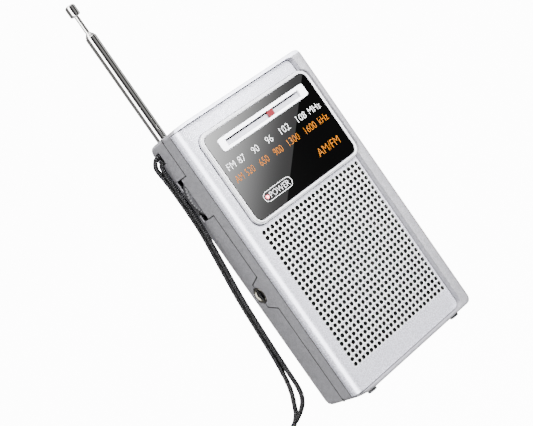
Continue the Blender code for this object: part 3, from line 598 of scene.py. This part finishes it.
def rounded(u0, u1, v0, v1, r):
    """A rectangle with round corners, anticlockwise."""
    r = max(r, 0.02)
    points = []
    corners = ((u1 - r, v1 - r), (u0 + r, v1 - r), (u0 + r, v0 + r), (u1 - r, v0 + r))
    for k, corner in enumerate(corners):
        points += arc(corner, r, 90 * k, 90 * k + 90, 10)
    return points


def framed(bm, rect, radius, steps):
    """Lofts inset copies of a rounded rectangle; steps lists (inset, y)."""
    x0, x1, z0, z1 = rect
    rings = []
    for inset, y in steps:
        outline = rounded(x0 + inset, x1 - inset, z0 + inset, z1 - inset, radius - inset)
        rings.append([(x, y, z) for x, z in outline])
    loft(bm, rings)
    return bm


bezel_silver = moulded("bezel_silver", (0.46, 0.46, 0.48), 0.3, 0.05, 0.4, 0.003, 0.2)
# Painted shade: a fine black ring in the gap round the bezel's foot.
foot_shade_rect = (BEZEL[0] - FOOT_SHADE, BEZEL[1] + FOOT_SHADE, BEZEL[2] - FOOT_SHADE, BEZEL[3] + FOOT_SHADE)
foot_shade = framed(bmesh.new(), foot_shade_rect, BEZEL_R + FOOT_SHADE, FOOT_SHADE_STEPS)
mesh_piece("dial_foot_gap", foot_shade, "case", black_cloth_and_shade)
bezel = framed(bmesh.new(), BEZEL, BEZEL_R, BEZEL_STEPS)
mesh_piece("dial_bezel_trim", bezel, "case", bezel_silver, ("dial_bezel",), 20)

# ---------------------------------------------------------------- dial window
# A flat window of polished black plastic in the bezel, with a white frame round the pointer's slot.  The red
# pointer runs in a track behind the slot, along a fine slit.

SLIT_X = (-19.2, 20.0)
SLIT_Y = (-11.98, -11.8)
SLIT_LIPS = ((105.0, 105.38), (105.8, 106.15))


def lens_gloss():
    """Black dial window: deep gloss with a little dust and fine hairline scratches."""
    g = Graph("lens_gloss")
    dust = g.noise(1.2, 5.0, 0.7).between(0.62, 0.8)
    hair = g.noise(0.35, 3.0, 0.6, (1, 1, 0.05)).between(0.62, 0.7)
    return g.put(
        Base_Color=g.mix((0.0004, 0.0004, 0.0004), (0.003, 0.003, 0.003), dust * 0.5),
        Roughness=0.004 + dust * 0.012 + hair * 0.006,
    )


lens_black = lens_gloss()
window_white = moulded("window_white", (0.66, 0.66, 0.69), 0.32, 0.03, 0.5, 0.005)
pointer_red = moulded("pointer_red", (0.075, 0.003, 0.006), 0.3, 0.08, 0.4, 0.005)
lens_mesh = as_mesh("dial_lens_body", merged("dial_lens", whole_faces=False))
finished("dial_lens_body", lens_mesh, "case", lens_black, ("dial_lens",), 25)
softened("slot_frame", "case", window_white, width=0.09)
softened("pointer_track", "case", white_part, width=0.03, segments=1)
slit_lips = bmesh.new()
for z0, z1 in SLIT_LIPS:
    block(slit_lips, *SLIT_X, *SLIT_Y, z0, z1)
mesh_piece("pointer_slit_lips", slit_lips, "case", white_part)
softened("tuning_pointer", "pointer", pointer_red, width=0.1)

# ---------------------------------------------------------------- power lamp
# A small lamp moulded in clear pink plastic on the board, whose domed end stands through the dial window at
# the left of its printed word.

LAMP = (-17.9, 80.0)
LAMP_R = 0.8
LAMP_PROFILE = (
    (0, -11.9), (LAMP_R, -11.9), (LAMP_R, -13.3), (0.74, -13.45), (0.55, -13.55), (0.3, -13.6), (0, -13.62),
)


def along(axis, u, v, w):
    """A point w along an axis and (u, v) across it."""
    return {"x": (w, u, v), "y": (u, w, v), "z": (u, v, w)}[axis]


def turned(bm, profile, axis, centre, sides=48):
    """Turns a profile of (radius, place along the axis); a radius of 0 closes the end."""
    rings = []
    for radius, w in profile:
        count = sides if radius > 0 else 1
        points = arc(centre, radius, 0, 360 - 360 / sides, sides - 1) if radius > 0 else [centre]
        rings.append([bm.verts.new(along(axis, u, v, w)) for u, v in points[:count]])
    pairs = list(zip(rings, rings[1:]))
    if profile[0][0] > 0:
        pairs.append((rings[-1], rings[0]))
    for a, b in pairs:
        for k in range(sides):
            corners = [a[k % len(a)], a[(k + 1) % len(a)], b[(k + 1) % len(b)], b[k % len(b)]]
            bm.faces.new(list(dict.fromkeys(corners)))
    return bm


def lamp_glow():
    """Pink indicator lamp: lighter in its middle."""
    g = Graph("lamp_glow")
    x, _, z = g.axes()
    lamp_x, lamp_z = LAMP
    off = ((x - lamp_x) * (x - lamp_x) + (z - lamp_z) * (z - lamp_z)).math("SQRT")
    core = 1 - off.between(0.15, LAMP_R)
    shade = g.mix((0.72, 0.12, 0.15), (0.95, 0.55, 0.55), core)
    roughness = 0.15 + g.noise(0.5) * 0.05
    return g.put(Base_Color=shade, Emission_Color=shade, Emission_Strength=0.35, Roughness=roughness)


lamp_pink = lamp_glow()
lamp = turned(bmesh.new(), LAMP_PROFILE, "y", LAMP, 32)
mesh_piece("power_lamp", lamp, "case", lamp_pink, ("power_led",), 40)

# ---------------------------------------------------------------- scale printing
# Two rows of scale figures, the bands' names and the lamp's word, screen printed on the face of the window
# in white and orange ink.

LENS_FACE = -13.4
INK = 0.03
THINNER = -0.008
CAPSULE = (-19.7, -4.9, 78.0, 82.1)
CAPSULE_R = 2.05
CAPSULE_LINE = 0.26
FM_ROW = (95.6, 98.3)
AM_ROW = (90.3, 93.1)
WHITE_WORDS = (
    (FM_ROW, (
        ("FM", -25.0, -21.1), ("87", -19.4, -16.1), ("90", -12.1, -8.9), ("96", -4.6, -1.4),
        ("102", 3.0, 7.9), ("108", 12.4, 17.2), ("MHz", 18.9, 25.2),
    )),
    ((78.85, 81.15), (("POWER", -16.6, -6.4),)),
)
ORANGE_WORDS = (
    (AM_ROW, (
        ("AM", -25.0, -21.2), ("520", -19.7, -15.4), ("650", -12.4, -7.8), ("900", -4.6, -0.2),
        ("1300", 3.0, 9.0), ("1600", 12.5, 18.5), ("kHz", 20.2, 25.2),
    )),
    ((80.3, 83.6), (("AM/FM", 11.5, 23.5),)),
)


def printing(name, base):
    """Screen-printed ink: slightly uneven cover."""
    g = Graph(name)
    cover = g.noise(0.35, 3.0, 0.7)
    shade = g.mix(tint(base, 0.92), base, cover.between(0.25, 0.55))
    return g.put(Base_Color=shade, Roughness=cover.scaled(0.3, 0.5))


def word_mesh(text):
    """The filled outline of a word, as a thin closed slab."""
    data = bpy.data.curves.new("word", "FONT")
    data.body = text
    data.extrude = 0.5
    data.offset = THINNER
    data.resolution_u = 4
    word = placed("word", data)
    mesh = evaluated(word)
    bpy.data.objects.remove(word, do_unlink=True)
    return mesh


def lettering(name, rows, material, extra=None):
    """Words fitted between x0 and x1 and z0 and z1, standing a hair proud of the window."""
    bm = bmesh.new()
    for (z0, z1), words in rows:
        for text, x0, x1 in words:
            mesh = word_mesh(text)
            xs = [v.co.x for v in mesh.vertices]
            ys = [v.co.y for v in mesh.vertices]
            wide = (x1 - x0) / (max(xs) - min(xs))
            tall = (z1 - z0) / (max(ys) - min(ys))
            for vertex in mesh.vertices:
                x, y, depth = vertex.co
                proud = LENS_FACE - INK / 2 - depth * INK
                vertex.co = (x0 + (x - min(xs)) * wide, proud, z0 + (y - min(ys)) * tall)
            bm.from_mesh(mesh)
            bpy.data.meshes.remove(mesh)
    bmesh.ops.remove_doubles(bm, verts=bm.verts, dist=0.0005)
    if extra:
        extra(bm)
    mesh_piece(name, bm, "case", material, (), 30)


def lamp_outline(bm):
    """The capsule drawn round the lamp and its word."""
    top = LENS_FACE - INK
    steps = ((0.0, LENS_FACE), (0.0, top), (CAPSULE_LINE, top), (CAPSULE_LINE, LENS_FACE))
    framed(bm, CAPSULE, CAPSULE_R, steps)


ink_white = printing("ink_white", (0.36, 0.36, 0.37))
ink_orange = printing("ink_orange", (0.155, 0.046, 0.0005))
lettering("scale_print_white", WHITE_WORDS, ink_white, lamp_outline)
lettering("scale_print_orange", ORANGE_WORDS, ink_orange)

# ---------------------------------------------------------------- thumbwheels
# Dark moulded discs with a finely fluted rim, a chamfered face and a shallow dish.  Each is held on its
# shaft by a steel screw and stands a little out of its slot in the side.

WHEEL_Z = 94.5
WHEEL_Y = (5.0, 7.3)
WHEEL_BORE = 1.45
DISH = 0.2
FLUTES_PER_MM = 5.2
FLUTE_DEPTH = 0.16
wheel_grey = moulded("wheel_grey", (0.03, 0.03, 0.032), 0.3, 0.08)


def fluted_wheel(name, body, x, radius):
    """A wheel about an axis along y; each step of its outline is (inset, share of the flute's depth, y)."""
    front, back = WHEEL_Y
    hub = radius - WHEEL_BORE
    outline = (
        (hub, 0, front), (0.5, 0, front), (0.25, 0.3, front + 0.12), (0.0, 1, front + 0.45),
        (0.0, 1, back - 0.45), (0.25, 0.3, back - 0.12), (0.5, 0, back), (1.3, 0, back),
        (1.5, 0, back - DISH), (radius - 3.2, 0, back - DISH), (radius - 3.0, 0, back), (hub, 0, back),
    )
    count = round(radius * FLUTES_PER_MM) * 4
    rings = []
    for inset, share, y in outline:
        ring = []
        for k in range(count):
            groove = FLUTE_DEPTH * share if k % 4 in (0, 1) else 0.0
            r = radius - inset - groove
            angle = math.tau * k / count
            ring.append((x + r * math.cos(angle), y, WHEEL_Z + r * math.sin(angle)))
        rings.append(ring)
    bm = bmesh.new()
    loft(bm, rings)
    mesh_piece(name + "_fluted", bm, body, wheel_grey, (name,), 30)


fluted_wheel("volume_wheel", "volume", x=-23.4, radius=11.5)
fluted_wheel("tuning_wheel", "tuning", x=21.9, radius=13.0)
coated(steel_plain, "tuning_wheel_screw", "volume_wheel_screw")

# ---------------------------------------------------------------- band switch knob
# A small slider moulded in black plastic, pushed on the lever of the slide switch.  It stands out of the
# right side and slides up and down.

softened("band_switch_knob", "band_knob", black_part, width=0.1)

# ---------------------------------------------------------------- earphone jack
# A black moulded socket on the board behind a plated ring with a dished lip.  A nickel spring contact shows
# inside the dark bore.

JACK = (6.16, 51.2)
RING_PROFILE = (
    (2.75, -31.0), (3.25, -31.0), (3.25, -33.15), (3.15, -33.32), (2.95, -33.4), (2.75, -33.36),
    (2.45, -33.05), (2.3, -32.85), (2.35, -32.6), (2.75, -32.5),
)
LEAF = (-31.6, -24.0, 5.6, 6.7, 49.55, 49.75)
jack_plating = metal("jack_plating", (0.20, 0.19, 0.16), 0.3, (1, 1, 1), 0.002, 0.4, 0.3)
nickel_dull = metal("nickel_dull", (0.62, 0.60, 0.54), 0.26, (1, 0.2, 1), 0.004, 0.4, 0.3)
jack_ring = turned(bmesh.new(), RING_PROFILE, "x", JACK, 64)
mesh_piece("jack_ring_plated", jack_ring, "case", jack_plating, ("jack_ring",), 35)
softened("earphone_jack", "case", black_part, width=0.1)
leaf = block(bmesh.new(), *LEAF)
mesh_piece("jack_contact", leaf, "case", nickel_dull, (), 30)

# ---------------------------------------------------------------- antenna
# Four plated brass tubes with rolled lips that slide one in another, then a thin rod with a turned cap.  A
# plated fork turns on the case, and the outer tube's tongue tilts in it on a steel pin.

MAST = (-26.8, 10.0)

# Each tube's node and body, then its outer and inner radius and its two ends.
TUBES = (
    ("antenna_tube_1", "antenna_outer", 2.25, 2.0, 118.0, 166.3),
    ("antenna_tube_2", "antenna_second", 1.92, 1.67, 119.8, 167.0),
    ("antenna_tube_3", "antenna_third", 1.59, 1.34, 120.2, 167.4),
    ("antenna_tube_4", "antenna_fourth", 1.26, 1.01, 120.6, 167.8),
)
ROD_PROFILE = ((0, 128.6), (0.77, 128.6), (0.87, 128.8), (0.87, 175.4), (0, 175.4))
CAP_PROFILE = (
    (0, 175.7), (1.6, 175.7), (1.9, 175.8), (2.1, 176.1), (2.1, 179.3), (2.02, 179.7), (1.8, 180.05),
    (1.45, 180.25), (0.9, 180.3), (0, 180.3),
)


def tube_profile(outer, inner, foot, top):
    """A tube's wall as (radius, z), with a chamfered foot, a fine groove and a rolled lip."""
    return (
        (inner, foot), (outer - 0.1, foot), (outer, foot + 0.1), (outer, top - 0.75),
        (outer - 0.05, top - 0.6), (outer - 0.05, top - 0.5), (outer, top - 0.4),
        (outer - 0.03, top - 0.15), (outer - 0.15, top), (inner, top),
    )


def antenna_part(node, body, profile, sides):
    """A bright turned part of the antenna."""
    bm = turned(bmesh.new(), profile, "z", MAST, sides)
    mesh_piece(node + "_bright", bm, body, chrome_tube, (node,), 25)


chrome_tube = metal("chrome_tube", (0.80, 0.79, 0.77), 0.07, (1, 1, 0.04), 0.0001, 0.4, 0.12)
softened("antenna_fork", "mast", chrome_tube, width=0.12)
softened("antenna_tongue", "antenna_outer", chrome_tube, width=0.1)
for node, body, *sizes in TUBES:
    antenna_part(node, body, tube_profile(*sizes), 64)
antenna_part("antenna_rod", "antenna_tip", ROD_PROFILE, 48)
antenna_part("antenna_cap", "antenna_tip", CAP_PROFILE, 64)
coated(steel_plain, "antenna_pin")

# ---------------------------------------------------------------- battery bay
# A grey moulded tray for two cells, with nickel plated contacts and springs pressed into it, under a door
# that is hinged on the rear shell.

softened("battery_door", "door", grey_body, width=0.12)
coated(grey_body, "battery_tray")
coated(nickel_dull, "contact_bridge", "contact_lower", "contact_upper")
coated(nickel_dull, "battery_spring_left", "battery_spring_right")

# ---------------------------------------------------------------- feet and case screws
# Four black rubber feet glued under the base, and the four steel screws that hold the two shells together
# from behind.

rubber_black = moulded("rubber_black", (0.035, 0.035, 0.036), 0.8, 0.25, 0.5, 0.03)
for foot in ("foot_front_left", "foot_front_right", "foot_rear_left", "foot_rear_right"):
    softened(foot, "case", rubber_black, width=0.12)
coated(steel_plain, "case_screw_lower_left", "case_screw_lower_right")
coated(steel_plain, "case_screw_upper_left", "case_screw_upper_right")

# ---------------------------------------------------------------- wrist strap
# One braided black cord, doubled: out of the hole in the left side, down past the wheel and jack, round on
# the floor and back up to the steel bar behind the hole.  Same route as the CAD's cord.

STRAP_D = 1.9
STRAP_ROUTE = (
    (-31.4, 8.2, 112.75), (-32.4, 8.2, 112.75), (-33.6, 8.25, 112.5), (-34.7, 8.4, 111.3),
    (-34.95, 8.7, 108.6), (-34.85, 9.0, 102.0), (-34.85, 9.0, 95.0), (-34.95, 9.0, 88.0),
    (-35.4, 9.0, 81.0), (-37.0, 9.0, 68.0), (-38.65, 9.0, 54.2), (-39.75, 9.0, 38.0),
    (-40.4, 9.0, 24.0), (-40.9, 9.0, 14.4), (-42.9, 8.9, 9.9), (-47.0, 8.7, 7.2),
    (-52.6, 7.9, 5.5), (-58.5, 6.6, 3.1), (-65.0, 5.2, 1.3), (-72.5, 4.5, 1.0),
    (-80.0, 5.6, 1.0), (-85.6, 9.4, 1.0), (-86.8, 14.8, 1.0), (-82.8, 18.8, 1.0),
    (-76.0, 19.8, 1.0), (-68.5, 17.9, 1.0), (-61.5, 14.8, 1.1), (-55.6, 12.6, 2.2),
    (-50.8, 11.5, 4.4), (-47.6, 11.1, 6.9), (-45.6, 11.0, 10.0), (-42.7, 11.0, 16.6),
    (-41.1, 11.0, 26.0), (-40.1, 11.0, 38.0), (-38.95, 11.0, 54.2), (-37.3, 11.0, 68.0),
    (-35.7, 11.0, 81.0), (-35.25, 11.0, 88.0), (-35.15, 11.0, 95.0), (-35.2, 11.0, 102.0),
    (-35.6, 10.8, 107.6), (-36.3, 10.0, 111.6), (-35.5, 8.8, 114.1), (-33.9, 8.25, 114.85),
    (-32.4, 8.2, 114.85), (-31.4, 8.2, 114.85),
)
BRAID_STEP = 0.3
BRAID_SIDES = 24
BRAID_PITCH = 3.6
BRAID_STRANDS = 4
BRAID_DEPTH = 0.17
STRAND_CROWN = 0.6
UNDER = 0.55


def smooth_route(points, step):
    """Evenly spaced places on a smooth curve through the given points."""
    knots = [Vector(p) for p in points]
    dense = []
    for i in range(len(knots) - 1):
        before = knots[i - 1] if i else knots[0] * 2 - knots[1]
        after = knots[i + 2] if i + 2 < len(knots) else knots[-1] * 2 - knots[-2]
        for k in range(12):
            t = k / 12
            b = knots[i + 1] - before
            c = 2 * before - 5 * knots[i] + 4 * knots[i + 1] - after
            d = 3 * knots[i] - before - 3 * knots[i + 1] + after
            dense.append((2 * knots[i] + b * t + c * t ** 2 + d * t ** 3) / 2)
    dense.append(knots[-1])
    lengths = [0.0]
    for a, b in zip(dense, dense[1:]):
        lengths.append(lengths[-1] + (b - a).length)
    count = round(lengths[-1] / step)
    places = []
    i = 0
    for k in range(count + 1):
        want = lengths[-1] * k / count
        while i < len(dense) - 2 and lengths[i + 1] < want:
            i += 1
        share = (want - lengths[i]) / (lengths[i + 1] - lengths[i])
        places.append(dense[i].lerp(dense[i + 1], share))
    return places, lengths[-1]


def braid_height(around, length):
    """Height of the plait, 0 to 1: strands wound both ways that pass over and under each other."""
    a = BRAID_STRANDS * (around + length / (BRAID_PITCH * BRAID_STRANDS))
    b = BRAID_STRANDS * (around - length / (BRAID_PITCH * BRAID_STRANDS))
    over = math.floor(a) % 2 == math.floor(b) % 2
    first = abs(math.sin(math.pi * a)) ** STRAND_CROWN * (1.0 if over else UNDER)
    second = abs(math.sin(math.pi * b)) ** STRAND_CROWN * (UNDER if over else 1.0)
    return max(first, second)


def braided(path, diameter):
    """A tube of plaited strands along a path, with u round it and v along it, in millimetres."""
    bm = bmesh.new()
    uv = bm.loops.layers.uv.new("UVMap")
    side = Vector((0, 1, 0))
    rings = []
    for i, place in enumerate(path):
        tangent = (path[min(i + 1, len(path) - 1)] - path[max(i - 1, 0)]).normalized()
        side = (side - tangent * side.dot(tangent)).normalized()
        other = tangent.cross(side)
        ring = []
        for k in range(BRAID_SIDES):
            turn_share = k / BRAID_SIDES
            lift = braid_height(turn_share, i * BRAID_STEP)
            r = diameter / 2 - BRAID_DEPTH * (1 - lift)
            angle = math.tau * turn_share
            out = side * (r * math.cos(angle)) + other * (r * math.sin(angle))
            ring.append(bm.verts.new(place + out))
        rings.append(ring)
    around = math.pi * diameter
    for i, (a, b) in enumerate(zip(rings, rings[1:])):
        for k in range(BRAID_SIDES):
            j = (k + 1) % BRAID_SIDES
            face = bm.faces.new((a[k], a[j], b[j], b[k]))
            corners = ((k, i), (k + 1, i), (k + 1, i + 1), (k, i + 1))
            for corner, (u, v) in zip(face.loops, corners):
                corner[uv].uv = (around * u / BRAID_SIDES, v * BRAID_STEP)
    bm.faces.new(rings[0])
    bm.faces.new(rings[-1])
    return bm


def braid_material():
    """Black braided fibre: fine crossing threads, with a painted sheen that makes them paler where they would
    catch the light.
    """
    g = Graph("braid_fibre", "UV")
    x, y, _ = g.axes()
    u, v = x * MM, y * MM  # the UV map is in millimetres already
    fibres = (u * 9.0 + v * 4.0).math("SINE") * (u * 9.0 - v * 4.0).math("SINE")
    fuzz = g.node("ShaderNodeTexNoise", {"Vector": g.place, "Scale": 0.006, "Detail": 3.0})
    # Painted sheen: paler threads in the base colour, standing in for light caught on the braid.
    painted_sheen = fibres.between(0.3, 0.95) * fuzz.between(0.4, 0.6)
    return g.put(
        Base_Color=g.mix((0.0006, 0.0006, 0.0006), (0.075, 0.075, 0.08), painted_sheen),
        Roughness=fuzz.scaled(0.42, 0.7),
        Specular_IOR_Level=0.15,
        Normal=g.bump(fibres * 0.5 + fuzz * 0.5, 0.05),
    )


strap_path, strap_length = smooth_route(STRAP_ROUTE, BRAID_STEP)
strap = mesh_piece("wrist_strap_braid", braided(strap_path, STRAP_D), "case", braid_material(),
                   ("wrist_strap",), smooth=60)
round(strap_length * MM, 4)
[tuple(p * MM) for p in strap_path[::6]]
coated(steel_plain, "strap_bar")

# ---------------------------------------------------------------- floor
# A wide white floor under the radio.  It glows as brightly as the surroundings, so that no line shows where
# it ends.

WHITE_LEVEL = 13.0
FLOOR_HALF = 20.0
floor_paint = Graph("studio_floor").put(
    Base_Color=(0.03, 0.03, 0.03),
    Roughness=0.9,
    Emission_Color=(1.0, 1.0, 1.0),
    Emission_Strength=WHITE_LEVEL,
)
floor_bm = bmesh.new()
bmesh.ops.create_grid(floor_bm, x_segments=1, y_segments=1, size=FLOOR_HALF)
floor_mesh = as_mesh("studio_floor", floor_bm)
floor_mesh.materials.append(floor_paint)
floor = placed("studio_floor", floor_mesh)
floor.visible_diffuse = False
floor.visible_glossy = False

# ---------------------------------------------------------------- lights
# A small soft key just left of the front, a broad overhead light, and a card at the right that only the
# dial mirrors.

# Places and sizes of the lights and the card are in metres, powers in watts and angles in degrees.
KEY_PLACE = (-0.02, -0.24, 0.20)
KEY_TARGET = (0, 0, 0.09)
KEY_SIZE = 0.15
KEY_POWER = 7.8
OVERHEAD_POWER = 2.6
OVERHEAD_SPREAD = 40
OVERHEAD_TILT = (8, 6)
CARD_Y = -0.5
CARD_CORNERS = ((0.285, 0.0286), (0.4063, 0.14), (0.235, 0.14), (0.235, 0.0286))

# The card grows brighter from a point on its slanting edge, (x, z) in millimetres, along a direction over a
# depth.  Its glow is the least one and how much it grows.
CARD_EDGE = (303.7, 44.7)
CARD_SLOPE = (0.676, 0.736)
CARD_DEPTH = 82.0
CARD_GLOW = (1.4, 24.0)
BLACK = (0.0, 0.0, 0.0)


def soft_light(name, place, target, size, power):
    """A square area light turned to face a target."""
    data = bpy.data.lights.new(name, "AREA")
    data.shape = "RECTANGLE"
    data.size = size
    data.size_y = size
    data.energy = power
    light = placed(name, data)
    direction = Vector(target) - Vector(place)
    light.matrix_world = Matrix.Translation(place) @ direction.to_track_quat("-Z", "Y").to_matrix().to_4x4()
    light.visible_camera = False
    return light


def dial_card():
    """A card whose edge the dial mirrors as a slanting line, brighter away from that edge."""
    bm = bmesh.new()
    bm.faces.new([bm.verts.new((x, CARD_Y, z)) for x, z in CARD_CORNERS])
    mesh = as_mesh("dial_card", bm)
    g = Graph("dial_card")
    x, _, z = g.axes()
    edge_x, edge_z = CARD_EDGE
    slope_x, slope_z = CARD_SLOPE
    away = ((edge_x - x) * slope_x + (z - edge_z) * slope_z) / CARD_DEPTH
    least, rise = CARD_GLOW
    level = least + rise * away * away
    glow = g.node("ShaderNodeVectorMath", {0: (1.0, 1.0, 1.0), "Scale": level}, operation="SCALE")
    mesh.materials.append(g.put(Base_Color=BLACK, Roughness=1.0, Emission_Color=glow, Emission_Strength=1.0))
    card = placed("dial_card", mesh)
    card.visible_camera = False
    card.visible_shadow = False
    card.visible_diffuse = False


key = soft_light("key", KEY_PLACE, KEY_TARGET, KEY_SIZE, KEY_POWER)
key.visible_glossy = False
overhead_data = bpy.data.lights.new("overhead", "SUN")
overhead_data.energy = OVERHEAD_POWER
overhead_data.angle = math.radians(OVERHEAD_SPREAD)
overhead = placed("overhead", overhead_data)
overhead.rotation_euler = (math.radians(OVERHEAD_TILT[0]), math.radians(OVERHEAD_TILT[1]), 0)
dial_card()

# ---------------------------------------------------------------- surroundings
# A white room.  Polished metal mirrors upright bands of it instead, given as (start, end, level) in degrees
# round from the camera.  Matt surfaces are lit mostly from the left and from behind.

TOWARDS_CAMERA = (-0.55, -0.835)
GLOSS_BANDS = (
    (-180, -130, 0.6), (-125, -58, 0.16), (-48, -14, 12.0), (30, 66, 0.28), (98, 130, 0.9),
)
ALL_ROUND = 0.14
FROM_ABOVE = 0.15
FROM_LEFT = 2.4
FROM_BEHIND = 1.6


def surroundings():
    """A white room whose mirrored image is upright light and dark bands, for the plated antenna."""
    world = bpy.data.worlds.new("studio")
    bpy.context.scene.world = world
    g = Graph("studio", "Generated", world)
    x, y, z = g.axes()
    to_x, to_y = TOWARDS_CAMERA
    around = (x * -to_y + y * to_x).math("ARCTAN2", x * to_x + y * to_y) * (180 / math.pi)
    mirrored = 0.04 + z.between(0.55, 0.95)
    for start, end, level in GLOSS_BANDS:
        mirrored = mirrored + around.within(start - 3, end - 3, 6) * level
    rays = g.node("ShaderNodeLightPath").socket.node
    seen = Value(g, rays.outputs["Is Camera Ray"])
    glossy = Value(g, rays.outputs["Is Glossy Ray"])
    left = (x * -1).between(0.2, 0.9) * FROM_LEFT
    behind = y.between(0.3, 0.9) * FROM_BEHIND
    plain = ALL_ROUND + z.between(0.0, 0.9) * FROM_ABOVE + left + behind
    strength = plain * (1 - seen) * (1 - glossy) + seen * WHITE_LEVEL + glossy * mirrored
    g.feed(g.shader.inputs["Color"], (1.0, 1.0, 1.0, 1.0))
    g.feed(g.shader.inputs["Strength"], strength)


surroundings()

# ---------------------------------------------------------------- camera
# A long lens, low and to the left of the front, about half a metre away.  It is rolled so that the radio
# leans to the left in the frame.

CAMERA_RIGHT = Vector((0.68108, -0.45693, -0.57215))
CAMERA_UP = Vector((0.50691, -0.26963, 0.81875))
CAMERA_PLACE = (-0.27431, -0.41768, 0.09847)
LENS_MM = 88.7
SENSOR_MM = 36.0
camera_data = bpy.data.cameras.new("camera")
camera_data.lens = LENS_MM
camera_data.sensor_width = SENSOR_MM
camera_data.clip_start = 0.01
camera = placed("camera", camera_data)
camera_turn = Matrix((CAMERA_RIGHT, CAMERA_UP, CAMERA_RIGHT.cross(CAMERA_UP))).transposed()
camera.matrix_world = Matrix.Translation(CAMERA_PLACE) @ camera_turn.to_4x4()
bpy.context.scene.camera = camera
